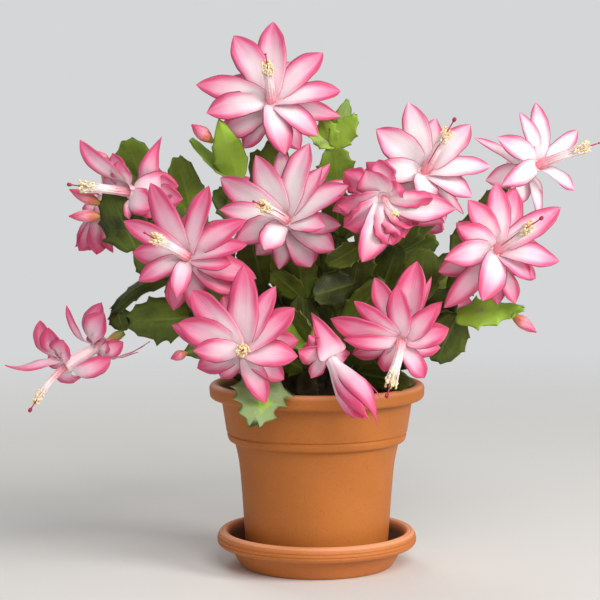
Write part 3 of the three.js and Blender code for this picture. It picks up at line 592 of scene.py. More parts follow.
def petal_material():
    """White in the middle, flushed pink towards the tip and both edges, with fine lengthwise veins and a
    thin dark line along the edge, partly the petal's own deeper margin and partly painted shade where
    petals overlap."""
    material, nodes, shader = new_material("petal")
    lines = leaf_lines(nodes, 24.0)
    edge, along, veins = lines["Edge"], lines["Along"], lines["Veins"]
    flush = nodes.attribute("shade")
    tip = nodes.times(nodes.range(along, 0.42, 1.0), 0.6)
    side = nodes.times(nodes.range(edge, 0.3, 1.0), nodes.range(along, 0.05, 0.6, 0.14, 0.66))
    pink = nodes.plus(tip, side)
    streak = nodes.times(nodes.range(veins, 0.25, 0.8, -0.09, 0.09, "LINEAR"),
                         nodes.range(pink, 0.02, 0.5, 0.5, 1.0))
    pink = nodes.plus(pink, streak)
    pink = nodes.plus(pink, nodes.times(flush, nodes.range(along, 0.0, 0.6, 0.15, 0.5)))
    blotch = nodes.mottle(60.0, 2.0, 0.3, 0.7, -0.1, 0.06, "LINEAR")
    pink = nodes.plus(pink, blotch, clamp=True)
    colour = nodes.ramp(
        pink,
        (0.0, 253, 234, 240), (0.2, 252, 214, 226), (0.46, 248, 173, 197),
        (0.74, 238, 115, 155), (1.0, 217, 60, 108),
    )
    # A thin dark line along the edge: partly the petal's own deeper margin, partly painted shade where one
    # petal lies over another.
    rim = nodes.times(nodes.range(edge, 0.89, 0.96), nodes.range(along, 0.02, 0.35, 0.5, 0.9))
    colour = nodes.mix(rim, colour, linear(186, 42, 86))
    height = nodes.plus(veins, nodes.times(nodes.noise(900.0, 2.0), 0.4))
    wear(nodes, shader, colour, nodes.range(veins, 0.2, 0.8, 0.42, 0.58, "LINEAR"),
         nodes.bump(height, 0.22, 0.0006), Sheen_Weight=0.1, Sheen_Roughness=0.5,
         Subsurface_Weight=0.3, Subsurface_Radius=(0.004, 0.002, 0.0025), Subsurface_Scale=1.0)
    return material


def tube_material():
    """The flower's tube: white, with pink streaks that deepen towards the foot, where it turns green."""
    material, nodes, shader = new_material("flower_tube")
    lines = leaf_lines(nodes, 14.0)
    along, veins = lines["Along"], lines["Veins"]
    streak = nodes.range(veins, 0.35, 0.7, 0.0, 0.55, "LINEAR")
    pink = nodes.mix(streak, linear(252, 236, 238), linear(238, 140, 168))
    foot = nodes.ramp(along, (0.0, 128, 146, 62), (0.16, 188, 160, 84),
                      (0.3, 236, 160, 150), (0.45, 250, 226, 228))
    colour = nodes.mix(nodes.range(along, 0.2, 0.42), foot, pink)
    wear(nodes, shader, colour, nodes.range(veins, 0.2, 0.8, 0.36, 0.5, "LINEAR"),
         nodes.bump(veins, 0.3, 0.0005), **FLESH)
    return material


def thread_material(name, pale, deep, low=0.0, high=1.0, rough=0.5):
    """A thin stalk that goes from one colour to another along its length, with a little mottling."""
    material, nodes, shader = new_material(name)
    along = leaf_lines(nodes, 6.0)["Along"]
    mottle = nodes.mottle(700.0, 2.0, 0.3, 0.7, -0.15, 0.15, "LINEAR")
    share = nodes.plus(nodes.range(along, low, high), mottle, clamp=True)
    wear(nodes, shader, nodes.mix(share, pale, deep), nodes.range(mottle, -0.15, 0.15, rough, rough + 0.12),
         nodes.bump(nodes.noise(1500.0, 2.0), 0.2, 0.0003))
    return material


def stem_material():
    """Waxy green stem segment. Age runs from 0, pale grey-green, which is partly a painted sheen, through
    0.1, young and yellow-green, to 1, old and dark, where the darkness is partly painted shade, and past 1
    it turns corky brown. The midrib and the side veins, which slant out to the teeth, are paler, and so
    are the margins, which blush a little."""
    material, nodes, shader = new_material("stem")
    lines = leaf_lines(nodes, 9.0)
    edge, along, veins = lines["Edge"], lines["Along"], lines["Veins"]
    age = nodes.attribute("age")
    patch = nodes.mottle(45.0, 4.0, 0.3, 0.7, -0.2, 0.2, "LINEAR")
    # The grey-green start of this ramp is partly painted sheen, and its dark end partly painted shade.
    green = nodes.ramp(
        nodes.plus(age, patch, clamp=True),
        (0.0, 138, 160, 106), (0.05, 156, 192, 68), (0.2, 150, 188, 64), (0.34, 126, 160, 52),
        (0.6, 91, 112, 30), (0.82, 67, 79, 16), (1.0, 37, 47, 9),
    )
    green = nodes.mix(nodes.range(veins, 0.4, 0.8, 0.0, 0.16, "LINEAR"), green, linear(140, 162, 66))
    slant = nodes.times(nodes.maths("SUBTRACT", along, nodes.times(edge, 0.16)), 22.4)
    side_vein = nodes.times(nodes.range(nodes.maths("SINE", slant), 0.93, 1.0),
                            nodes.range(edge, 0.9, 0.3, 0.0, 0.06))
    rib = nodes.times(nodes.range(edge, 0.09, 0.02), nodes.range(along, 1.0, 0.5, 0.03, 0.2))
    lines_seen = nodes.maths("MAXIMUM", rib, side_vein)
    green = nodes.mix(lines_seen, green, linear(150, 168, 86))
    green = nodes.mix(nodes.range(edge, 0.91, 0.99, 0.0, 0.38), green, linear(160, 156, 80))
    blush = nodes.times(nodes.range(edge, 0.94, 1.0, 0.0, 0.5), nodes.attribute("shade"))
    green = nodes.mix(blush, green, linear(146, 70, 58))
    cork = nodes.mix(nodes.mottle(160.0, 5.0, 0.35, 0.65), linear(44, 38, 22), linear(74, 64, 42))
    colour = nodes.mix(nodes.range(age, 1.1, 1.8), green, cork)
    height = nodes.plus(nodes.times(lines_seen, 0.7), nodes.noise(420.0, 4.0))
    wear(nodes, shader, colour, nodes.mottle(120.0, 3.0, 0.3, 0.7, 0.4, 0.54, "LINEAR"),
         nodes.bump(height, 0.3, 0.0007), Subsurface_Weight=0.08, Subsurface_Radius=(0.001, 0.002, 0.0005),
         Subsurface_Scale=0.5, Specular_IOR_Level=0.28)
    return material


def bud_material():
    """Overlapping young petals: orange-green at the foot, rose above, deeper along their edges."""
    material, nodes, shader = new_material("bud")
    lines = leaf_lines(nodes, 18.0)
    along, veins = lines["Along"], lines["Veins"]
    ridge = nodes.attribute("shade")
    share = nodes.plus(along, nodes.range(veins, 0.3, 0.7, -0.08, 0.08, "LINEAR"), clamp=True)
    colour = nodes.ramp(share, (0.0, 130, 140, 58), (0.16, 180, 134, 66),
                        (0.33, 216, 120, 98), (0.52, 244, 160, 174),
                        (0.78, 236, 112, 146), (1.0, 206, 54, 98))
    colour = nodes.mix(nodes.times(ridge, 0.75), colour, linear(206, 48, 96))
    wear(nodes, shader, colour, nodes.range(veins, 0.2, 0.8, 0.35, 0.5, "LINEAR"),
         nodes.bump(veins, 0.3, 0.0005), **FLESH)
    return material


# ---------------------------------------------------------------- materials of the pot and soil


def plastic_material(name, pale, deep, speck):
    """Moulded terracotta-coloured plastic: faint clouding, fine dark and pale specks, faint turned rings
    and a very fine grain. It is painted paler where shade is 1, a painted highlight on the top edge, and
    painted dark where age is 1, painted shade inside under the rim."""
    material, nodes, shader = new_material(name)
    cloud = nodes.mottle(14.0, 4.0, 0.3, 0.7)
    colour = nodes.mix(cloud, deep, pale)
    dark = nodes.mottle(900.0, 1.0, 0.62, 0.72, 0.0, 0.35)
    colour = nodes.mix(dark, colour, speck)
    light = nodes.mottle(1300.0, 1.0, 0.66, 0.74, 0.0, 0.12)
    colour = nodes.mix(light, colour, linear(226, 166, 120))
    # Painted highlight: the top edge, where the light falls on it, is painted paler.
    painted_rim_highlight = nodes.times(nodes.attribute("shade"), nodes.range(cloud, 0.0, 1.0, 0.45, 0.8))
    colour = nodes.mix(painted_rim_highlight, colour, linear(236, 164, 122))
    # Painted shade: the inside just below the top edge, where the rim shades it, is painted dark.
    painted_inner_shade = nodes.times(nodes.attribute("age"), nodes.range(cloud, 0.0, 1.0, 0.95, 0.75))
    colour = nodes.mix(painted_inner_shade, colour, linear(56, 34, 22))
    where = nodes.add("ShaderNodeTexCoord").outputs["Object"]
    flat = nodes.add("ShaderNodeMapping", Vector=where)
    flat.inputs["Scale"].default_value = (6.0, 6.0, 900.0)
    rings = nodes.noise(1.0, 2.0, flat.outputs[0])
    grain = nodes.noise(2600.0, 2.0)
    height = nodes.plus(nodes.times(rings, 0.6), grain)
    wear(nodes, shader, colour, nodes.mottle(40.0, 3.0, 0.3, 0.7, 0.5, 0.62, "LINEAR"),
         nodes.bump(height, 0.12, 0.0004), Specular_IOR_Level=0.4)
    return material


def soil_material():
    """Dark damp peat with paler fibres."""
    material, nodes, shader = new_material("soil")
    colour = nodes.mix(nodes.mottle(260.0, 6.0, 0.35, 0.7), linear(14, 10, 8), linear(48, 35, 25))
    fibre = nodes.mottle(1100.0, 2.0, 0.64, 0.72, 0.0, 0.6)
    colour = nodes.mix(fibre, colour, linear(120, 92, 62))
    wear(nodes, shader, colour, 0.95, nodes.bump(nodes.noise(700.0, 6.0), 0.8, 0.0015))
    return material


def crumb_material(name, pale, deep):
    """Loose bits in the soil, mottled between two colours."""
    material, nodes, shader = new_material(name)
    colour = nodes.mix(nodes.mottle(500.0, 4.0, 0.3, 0.7), deep, pale)
    wear(nodes, shader, colour, 0.9, nodes.bump(nodes.noise(1200.0, 4.0), 0.5, 0.0006))
    return material


PETAL = petal_material()
TUBE = tube_material()
FILAMENT = thread_material("filament", linear(232, 134, 152), linear(255, 240, 240), 0.1, 0.75)
ANTHER = thread_material("anther", linear(255, 242, 210), linear(250, 224, 166), rough=0.8)
STYLE = thread_material("style", linear(222, 96, 140), linear(178, 22, 74), 0.1, 0.8, rough=0.35)
STEM = stem_material()
BUD = bud_material()
POT_PLASTIC = plastic_material("pot_plastic", linear(185, 108, 42), linear(174, 100, 35), linear(128, 70, 26))
SAUCER_PLASTIC = plastic_material(
    "saucer_plastic", linear(190, 112, 52), linear(180, 104, 44), linear(134, 76, 32))
SOIL = soil_material()
PERLITE = crumb_material("perlite", linear(236, 232, 222), linear(190, 182, 168))
BARK = crumb_material("bark", linear(96, 70, 48), linear(44, 32, 24))

# ---------------------------------------------------------------- pot, saucer and soil


# Radius of the small flat faces that close a turned solid on its axis.
HUB = 0.5


def turned(profile, sides=160):
    """Rings of a closed turned solid: profile is (radius, height) pairs from the middle of its underside,
    out and over its top edge, to the middle of its upper face. Ring point i stands at angle i."""
    r, z = np.array(profile, float).T
    turn = angles(sides)
    x = r[:, None] * np.cos(turn)
    y = r[:, None] * np.sin(turn)
    return np.stack([x, y, np.broadcast_to(z[:, None], x.shape)], -1)


def rounded(corners, steps=5, most=0.45):
    """A profile with each corner (radius, height, rounding) replaced by a quadratic curve that starts and
    ends at that distance from it, or at the share most of the side where that is shorter."""
    points = np.array([c[:2] for c in corners], float)
    made = [points[0]]
    for i in range(1, len(corners) - 1):
        before, here, after = points[i - 1], points[i], points[i + 1]
        size = corners[i][2]
        back, ahead = before - here, after - here
        start = here + back * min(most, size / np.linalg.norm(back))
        end = here + ahead * min(most, size / np.linalg.norm(ahead))
        t = np.linspace(0, 1, steps)[:, None]
        made += list(arc(start, here, end, t))
    made.append(points[-1])
    return made


def make_turned(name, profile, material, slot):
    """A piece turned from a profile. Its shade, which marks a painted highlight on the top edge, rises
    from 0 to 1 from 3 mm below its top edge to 0.6 mm below it, and its age, which marks painted shade
    inside under the rim, rises from 1 mm to 6 mm below that edge on the inside."""
    rings = turned(rounded(profile))
    height = rings[..., 2]
    top = height.max()
    inside = np.arange(len(rings)) > height[:, 0].argmax()
    piece = Piece()
    piece.skin(rings, pipe_uv(np.linspace(0, 1, len(rings)), rings.shape[1]),
               smooth(top - 3, top - 0.6, height), smooth(1, 6, top - height) * inside[:, None])
    piece.finish(name, [material], [slot])


def corners_at(rim, level, *rows):
    """Profile corners from rows of (distance inside the rim, height above the level, rounding)."""
    return [(rim - inset, level + rise, rounding) for inset, rise, rounding in rows]


def make_pot():
    """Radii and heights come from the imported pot's box: its rim radius and its foot and rim heights. The
    profile runs from under the floor to the foot ring, up the flared wall and over its stepped shoulder,
    then over the collar and the rim and down the inside, and back along the floor."""
    low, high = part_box("pot")
    rim, foot, top = high.x / MM, low.z / MM, high.z / MM
    wall = corners_at(
        rim, foot,
        (27, 1.2, 0.5), (25.5, 0, 0.6), (23.6, 0, 0.8), (22.7, 2.4, 2), (21.2, 18, 8), (19.5, 44, 10),
        (18, 61, 8), (15.8, 71, 4), (15, 73.4, 1), (12.2, 73.9, 1), (11.3, 75.2, 1), (10.7, 78, 0.5),
        (11.3, 78.5, 0.25), (11.3, 79.2, 0.25), (10.3, 79.7, 0.4),
    )
    collar_and_inside = corners_at(
        rim, top,
        (7.4, -10, 1), (7, -9.3, 0.5), (1.6, -9, 0.8), (0.3, -7.6, 1.2), (0, -1.9, 1.3), (1.8, 0, 1.3),
        (5, 0, 1.6), (6.6, -2.2, 1.6), (9.2, -11, 3), (12, -27, 4), (17.5, -36, 4), (21, -60, 8),
    )
    floor = corners_at(rim, foot, (24, 3.4, 2), (26, 2.6, 1))
    under, over = (HUB, foot + 1.2, 0), (HUB, foot + 2.6, 0)
    make_turned("pot_shell", [under, *wall, *collar_and_inside, *floor, over], POT_PLASTIC, "pot")


def make_saucer():
    """Its lip is rolled out and down over a flared wall, with three fine grooves round its outer face and
    one round its top."""
    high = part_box("saucer")[1]
    rim, top = high.x / MM, high.z / MM
    wall = corners_at(
        rim, 0,
        (17.5, 0.8, 0.4), (16.8, 0, 0.4), (14.8, 0, 0.8), (13.4, 1.8, 1.6), (8.6, 10, 5),
    )
    lip_and_inside = corners_at(
        rim, top,
        (7, -9, 1), (6, -9.4, 0.6), (1.6, -9.1, 0.9), (0.4, -7.6, 1.4), (0.1, -6.6, 0.3), (0.7, -6.2, 0.3),
        (0, -5.7, 0.4), (0.1, -4.6, 0.3), (0.8, -4.1, 0.25), (0.3, -3.6, 0.4), (0.7, -2.6, 0.3),
        (1.4, -2.2, 0.25), (1.2, -1.5, 0.5), (2.8, -0.1, 1), (3.5, -0.7, 0.4), (4.2, -0.1, 0.5),
        (5.6, -0.3, 0.8), (6.6, -1.8, 1), (9, -8, 4),
    )
    floor = corners_at(rim, 0, (15, 2.6, 3), (18, 1.9, 1))
    under, over = (HUB, 0.8, 0), (HUB, 1.9, 0)
    make_turned("saucer_dish", [under, *wall, *lip_and_inside, *floor, over], SAUCER_PLASTIC, "saucer")


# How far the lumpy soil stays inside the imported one, at its wall and below its top.
SOIL_SINK = 1.2


def soil_height(x, y):
    """Height of the soil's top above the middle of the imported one's: a low mound with lumps of two sizes."""
    flat = np.stack([x, y, np.zeros_like(x)], -1)
    return -1.4 * (np.hypot(x, y) / 50) ** 2 + 0.9 * bumps(flat, 24, 3) + 0.6 * bumps(flat, 5, 4) - SOIL_SINK


def make_soil():
    """Closed round body: rings of growing radius under the top, then rings inwards over its lumpy top."""
    low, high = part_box("soil")
    edge, floor = high.x / MM - SOIL_SINK, low.z / MM - SOIL_TOP
    sides = 150
    rise = floor * np.array([1.0, 1.0, 0.97, 0.5, 0.2, 0.06])
    wall = np.array([HUB, edge * 0.68, edge * 0.7, edge * 0.77, edge * 0.88, edge * 0.97])
    inward = edge * np.linspace(1, 0.006, 70)
    x, y = inward[:, None] * np.cos(angles(sides)), inward[:, None] * np.sin(angles(sides))
    rings = np.concatenate([turned(list(zip(wall, rise)), sides), np.stack([x, y, soil_height(x, y)], -1)])
    piece = Piece()
    piece.skin(rings, pipe_uv(np.linspace(0, 1, len(rings)), sides))
    piece.finish("soil_bed", [SOIL], ["soil"], SOIL_TOP)


def crumbs(count, sizes, seed, flatness, reach):
    """Rings of small lumpy balls: a ball's ring radius follows sqrt(1 - h^2) for heights h from -1 to 1,
    stretched at random, flattened, and sunk a third of its height into the soil."""
    source = np.random.default_rng(seed)
    heights = np.array([-0.97, -0.6, 0, 0.6, 0.97])
    turn = angles(7)
    shape = (len(heights), len(turn))
    ring = np.sqrt(1 - heights**2)[:, None]
    ball = np.stack([ring * np.cos(turn), ring * np.sin(turn), np.broadcast_to(heights[:, None], shape)], -1)
    size = source.uniform(*sizes, (count, 1, 1, 1)) * source.uniform(0.7, 1.3, (count, 1, 1, 3))
    size[..., 2] *= flatness
    balls = ball * size * source.uniform(0.82, 1.12, (count, *shape, 1))
    spin = source.uniform(0, np.pi, count)[:, None, None]
    x = balls[..., 0] * np.cos(spin) - balls[..., 1] * np.sin(spin)
    y = balls[..., 0] * np.sin(spin) + balls[..., 1] * np.cos(spin)
    far = reach * np.sqrt(source.uniform(0.02, 1, count))
    way = source.uniform(0, 2 * np.pi, count)
    middle = np.stack([far * np.cos(way), far * np.sin(way)], -1)
    ground = soil_height(middle[:, 0], middle[:, 1])
    z = balls[..., 2] + (ground + size[:, 0, 0, 2] * 0.35)[:, None, None]
    return np.stack([x + middle[:, 0, None, None], y + middle[:, 1, None, None], z], -1)


def make_crumbs():
    """White perlite and flat bits of bark, strewn over the soil."""
    for name, material, balls in (
        ("soil_perlite", PERLITE, crumbs(30, (0.8, 2.0), 21, 0.8, 50)),
        ("soil_bark", BARK, crumbs(150, (0.8, 2.6), 22, 0.4, 51)),
    ):
        rings, sides = balls.shape[1:3]
        piece = Piece()
        piece.skin(balls, pipe_uv(np.linspace(0, 1, rings), sides))
        piece.finish(name, [material], (), SOIL_TOP)


# ---------------------------------------------------------------- stem segments

PAD_ACROSS, PAD_ALONG = 13, 27
TOOTH_PLACES = np.array([0.36, 0.64, 0.93])
TOOTH_RISE, TOOTH_FALL = 0.16, 0.035

# Segments no wider than this are the old stalks that come out of the soil, and segments narrower than the
# second width are thinner too.
STALK_WIDTH, PLUMP_WIDTH = 13, 18


def pad_frame(start, end, turn):
    """Across, along and face of a segment: face is square to its length and, at turn 0, as near to the
    front as that allows, or to the top where the segment itself points to the front."""
    along = unit(end - start)
    front = np.array([0.0, -1.0, 0.0]) if abs(along[1]) <= 0.93 else np.array([0.0, 0.0, 1.0])
    face = unit(front - along * (front @ along))
    angle = np.radians(turn)
    face = face * np.cos(angle) + np.cross(along, face) * np.sin(angle)
    return np.cross(along, face), along, face


def pad_edge(v, tips, sizes, end, leafy, jagged):
    """Half width along one edge as a share of the widest. The body is sin(pi s)^0.5, cut off by a blunt
    end, on a narrow joint. A leafy one is widest lower down and comes to a point, a jagged one tapers
    more. A tooth rises slowly to its tip and falls back steeply after it."""
    across = np.sin(np.pi * np.clip(0.05 + end * v ** (1 - 0.22 * leafy), 0, 1)) ** (0.5 + 0.35 * leafy)
    body = (0.14 * (1 - leafy * v) + 0.88 * across) * (1 - 0.2 * (jagged - 1) * smooth(0.4, 0.85, v))
    rise = np.clip((v[:, None] - tips + TOOTH_RISE) / TOOTH_RISE, 0, 1) ** 1.7
    fall = np.clip(1 - (v[:, None] - tips) / TOOTH_FALL, 0, 1)
    return body - 0.05 + np.where(v[:, None] <= tips, rise, fall) @ sizes


def pad_rings(start, end, width, turn, seed, leafy, arch, jagged):
    """One segment. With u from -1 to 1 across and v from 0 to 1 along, a point is start + across * u *
    half width + along * v * length + face * (bow + edge wave + cup +- half thickness). The bow is a
    parabola along the length, the cup is one across it, and the wave grows as u^2. The half thickness
    falls from the midrib to thin margins and grows round at the joint. The far end has a horn on each
    side of a notch. A leafy segment has a narrow tip, smaller teeth and no horns, a jagged one has larger
    teeth and horns, and arch bends a segment towards its face."""
    source = np.random.default_rng(seed)
    start, end = np.array(start, float), np.array(end, float)
    length = np.linalg.norm(end - start)
    across, along, face = pad_frame(start, end, turn)
    tips = TOOTH_PLACES + source.uniform(-0.05, 0.05, (2, 3)) * [1, 1, 0.4]
    sizes = source.uniform(0.09, 0.2, (2, 3)) * [1.1, 1.0, 0.7] * (1 - 0.35 * leafy) * jagged
    v = np.sort(np.concatenate([np.linspace(0, 1, PAD_ALONG), tips.ravel(), tips.ravel() + 0.02]))
    v = np.clip(v, 0, 1)
    blunt = 0.885 + 0.065 * leafy + source.uniform(-0.02, 0.02) * (1 - leafy)
    left, right = (pad_edge(v, *teeth, blunt, leafy, jagged) for teeth in zip(tips, sizes))
    u, side = sheet_loop(PAD_ACROSS)
    half = np.where(u < 0, left[:, None], right[:, None]) * width / 2
    v = v[:, None]
    x = u * half
    notch = source.uniform(-0.16, 0.0) * (1 - leafy) * u**2 - 0.06 * leafy * u**2
    horns = np.interp(np.abs(u), [0, 0.55, 1], [0, 1, 0.1]) * 0.07 * jagged**1.5 * (1 - leafy)
    y = (v * 1.02 - 0.02 + notch * v**6 + horns * v**9) * length
    bow = (source.uniform(-0.06, 0.06) * length + arch) * 4 * v * (1 - v)
    wave = source.uniform(0.4, 1.1) * u**2 * np.sin(v * 9 + source.uniform(0, 6) + u) * smooth(0, 0.3, v)
    cup = source.uniform(-0.04, 0.07) * width * u**2 * smooth(0, 0.4, v)
    slim = min(1.0, width / PLUMP_WIDTH)
    thick = (0.4 + 0.75 * slim * (1 - np.abs(u) ** 1.5)) + 0.4 * np.exp(-((u / 0.13) ** 2)) * (1 - 0.7 * v)
    thick = thick + (1.3 - thick) * (1 - smooth(0, 0.14, v)) * (1 - np.abs(u) ** 3)
    z = bow + wave + cup + side * thick
    points = start + x[..., None] * across + y[..., None] * along + z[..., None] * face
    return points, sheet_uv(u, v)


def pad_age_and_painted_shade(tip_height, is_last, width, base_height):
    """Segments grow paler and younger with height and at the end of a chain, and the lower ones are
    painted darker, partly for their age and partly as painted shade inside the plant. A stalk turns
    corky, most of all where it comes out of the soil, and that darker cork is partly painted shade in
    the gap above the soil."""
    if width <= STALK_WIDTH:
        return 1.9 if base_height < 0 else 1.2
    return max(1.04 - 0.0022 * tip_height - (0.12 if is_last else 0), 0.0)


# Segments that arch over under a flower's weight, and the height of the arch. A segment is named by its
# branch, its chain and its place in the chain, both counted from 0.
ARCHED = {("far_left", 0, 3): 7.0}

# Segments with larger teeth than the others, and how many times as large.
JAGGED = {
    ("lower_left", 1, 1): 2.3, ("far_left", 0, 3): 1.6, ("low_left", 0, 3): 1.5, ("far_left", 1, 1): 1.5,
    ("top_right", 1, 0): 1.7, ("top_right", 2, 0): 2.0, ("top_right", 3, 0): 1.7, ("top_right", 4, 0): 1.7,
    ("right", 2, 1): 2.0, ("top_right", 0, 4): 1.4,
}

# Last segments of chains that are paler and younger, or darker and older, than their height would make
# # them, as (branch, chain): (age, how leafy the outline is). As for the other segments, a darker age is
# # partly painted shade, and an age at or below 0, grey-green, is partly painted sheen.
LAST_SEGMENTS = {
    ("pale_left", 1): (0.12, 0.9), ("pale_left", 2): (0.25, 0.0), ("lower_left", 1): (-0.07, 0.0),
    ("right", 2): (0.2, 0.1), ("top_right", 1): (0.22, 0.3), ("top_right", 2): (0.1, 0.3),
    ("top_right", 3): (0.1, 0.3), ("top_right", 4): (0.45, 0.4), ("top_right", 0): (0.42, 0.0),
    ("centre", 1): (0.4, 0.2), ("front", 2): (0.3, 0.3), ("middle", 1): (0.95, 0.1),
    ("middle", 3): (0.68, 0.1), ("far_left", 0): (0.8, 0.0), ("far_left", 1): (0.8, 0.0),
    ("upper_left", 1): (0.62, 0.2), ("low_left", 0): (0.72, 0.0),
}


def make_branches():
    """One mesh for each branch, with the segments of a chain joined end to end. A segment's shade, which is
    how much its margins blush, is drawn at random."""
    for index, (name, chains) in enumerate(BRANCHES.items()):
        piece = Piece()
        for number, rows in enumerate(chains):
            start = rows[0][:3]
            for order, (x, y, z, width, turn) in enumerate(rows[1:]):
                last = order == len(rows) - 2
                # The age also paints shade: low segments and stalks at the soil come out darker.
                age, leafy = pad_age_and_painted_shade(z, last, width, start[2]), 0.0
                if last:
                    age, leafy = LAST_SEGMENTS.get((name, number), (age, leafy))
                seed, place = 1000 * index + 50 * number + order, (name, number, order)
                rings, uv = pad_rings(start, (x, y, z), width, turn, seed, leafy, ARCHED.get(place, 0.0),
                                      JAGGED.get(place, 1.0))
                piece.skin(rings, uv, float(DRAW.uniform(0, 1)), age)
                start = (x, y, z)
        piece.finish(f"stems_{name}", [STEM], [f"branch_{name}"], SOIL_TOP)


# ---------------------------------------------------------------- flowers

PETAL_ACROSS, PETAL_ALONG = 13, 23

# The ring of a petal, counted from its foot, whose face is turned to the front.
SHOWN_RING = 12

# How hollow a petal is at its claw, as a share of its half width, and how far its tip is turned outwards
# past the straight line from its foot, in radians.
CLAW_CUP, TIP_BEND = 0.2, 0.38

# How many times as wide as its row says a petal is drawn, because it is curved across.
FULLNESS = 1.2

THROAT_RADIUS = 3.4
TO_FRONT = np.array([0.0, -1.0, 0.0])


def flower_axes(axis):
    """Right, up and face of a flower: up is as near to upright as facing that way allows."""
    face = unit(np.array(axis, float))
    up = np.array([0.0, 0.0, 1.0]) - face * face[2]
    if np.linalg.norm(up) < 0.3:
        up = np.array([0.0, 1.0, 0.0]) - face * face[1]
    up = unit(up)
    return np.cross(up, face), up, face


def petal_half_width(v, width, source, ragged, wedge):
    """Half width along a petal, one column for each edge. From a claw 0.42 as wide it grows as a quarter
    sine to its widest at 0.5 to 0.62, or at 0.2 on a wedge, then closes as (1 - t^p)^q, where a large p
    makes a blunt tip. Each edge has its own small waves, and a ragged petal has larger ones."""
    widest = 0.2 if wedge else source.uniform(0.5, 0.62)
    grown = 0.42 + 0.58 * np.sin(np.pi / 2 * np.clip(v / widest, 0, 1)) ** 1.1
    closing = np.clip((v - widest) / (1 - widest), 0, 1)
    power = 1.2 if wedge else source.uniform(1.9, 2.6)
    close = np.clip(1 - closing**power, 0.008, 1) ** source.uniform(0.96, 1.08)
    phase = source.uniform(0, FULL_TURN, (2, 2))
    wave = 0.03 * np.sin(9 * v + phase[0]) + 0.018 * ragged * np.sin(31 * v + phase[1])
    wave = wave + 0.07 * (ragged - 1) * np.arcsin(np.sin(24 * v + phase[1] * 2)) * smooth(0.4, 0.7, v)
    return width / 2 * FULLNESS * grown * close * (1 + wave * smooth(0.15, 0.5, v))


def petal_rings(axes, middle, petal, root, source, ruffle, facing, wedge):
    """One petal. Its centre line is a cubic curve in the plane of the flower's axis and the petal's
    direction, from root = (radius, height, opening angle) to (reach, rise), where it is turned by
    TIP_BEND past the straight line between the two. Its section is cup * half width * u^2, with one cup
    at the claw and a random small one in the blade, folded a little along the keel and waved at the
    edges, more so where ruffle is above 1. The section rolls about the line from claw to tip, so that
    petals overlap one way round, and by the share facing of the angle that would turn the petal's middle
    to the front. The half thickness falls from the keel to the edges and from claw to tip."""
    right, up, face = axes
    angle, reach, width, rise = petal
    turn = np.radians(angle + source.uniform(-2, 2))
    outward = right * np.cos(turn) + up * np.sin(turn)
    sideways = np.cross(outward, face)
    start = outward * root[0] + face * root[1]
    end = outward * reach + face * rise
    straight = np.arctan2(reach - root[0], rise - root[1])
    first, last = max(np.radians(root[2]), straight - 1.2), straight + TIP_BEND
    span = np.linalg.norm(end - start)
    leave = start + 0.36 * min(span, 34.0) * (outward * np.sin(first) + face * np.cos(first))
    arrive = end - 0.34 * span * (outward * np.sin(last) + face * np.cos(last))
    v = 1 - (1 - np.linspace(0, 1, PETAL_ALONG)) ** 1.35
    line = bezier(start, leave, arrive, end, v)
    line += (source.uniform(-0.08, 0.08) * span * v**2)[:, None] * sideways
    ahead = unit(np.gradient(line, axis=0))
    across = unit(sideways - ahead * (ahead @ sideways)[:, None])
    normal = np.cross(across, ahead)
    seen, flat = across[SHOWN_RING] @ TO_FRONT, normal[SHOWN_RING] @ TO_FRONT
    to_front = -np.arctan2(seen * np.sign(flat), abs(flat))
    lap = 0.34 * (1 - 0.6 * smooth(0.6, 1, v)) * (1 - facing)
    roll = source.uniform(-0.1, 0.1) * v * ruffle + lap + facing * to_front * smooth(0.05, 0.6, v)
    across, normal = (across * np.cos(roll)[:, None] + normal * np.sin(roll)[:, None],
                      normal * np.cos(roll)[:, None] - across * np.sin(roll)[:, None])
    u, side = sheet_loop(PETAL_ACROSS)
    v = v[:, None]
    edges = petal_half_width(v, width, source, ruffle, wedge)
    half = np.where(u < 0, edges[:, :1], edges[:, 1:])
    blade = source.uniform(-0.12, 0.1)
    bowl = (CLAW_CUP * (1 - smooth(0.05, 0.5, v)) + blade * smooth(0.3, 0.9, v)) * half * u**2
    keel = source.uniform(0.05, 0.32) * half * (np.sqrt(u**2 + 0.02) - 0.141) * smooth(0.25, 0.8, v)
    phase, waves = source.uniform(0, FULL_TURN), source.uniform(1.4, 2.6)
    wave = 0.4 * ruffle * u**2 * np.sin(2 * np.pi * waves * v + phase + 1.5 * u) * smooth(0.2, 0.6, v)
    wave += 0.35 * (ruffle - 1) * np.sin(2 * np.pi * (1.7 * v + 0.6 * u) + phase) * smooth(0.15, 0.5, v)
    wave += 0.5 * (ruffle - 1) * np.arcsin(np.sin(4.5 * u + 2 * v + phase)) * smooth(0.1, 0.6, v)
    thick = 0.1 + 0.2 * (1 - u**2) * (1 - 0.6 * v)
    x = u * half
    z = bowl + keel + wave + side * thick
    points = middle + line[:, None, :] + x[..., None] * across[:, None, :] + z[..., None] * normal[:, None, :]
    return points, sheet_uv(u, v), side


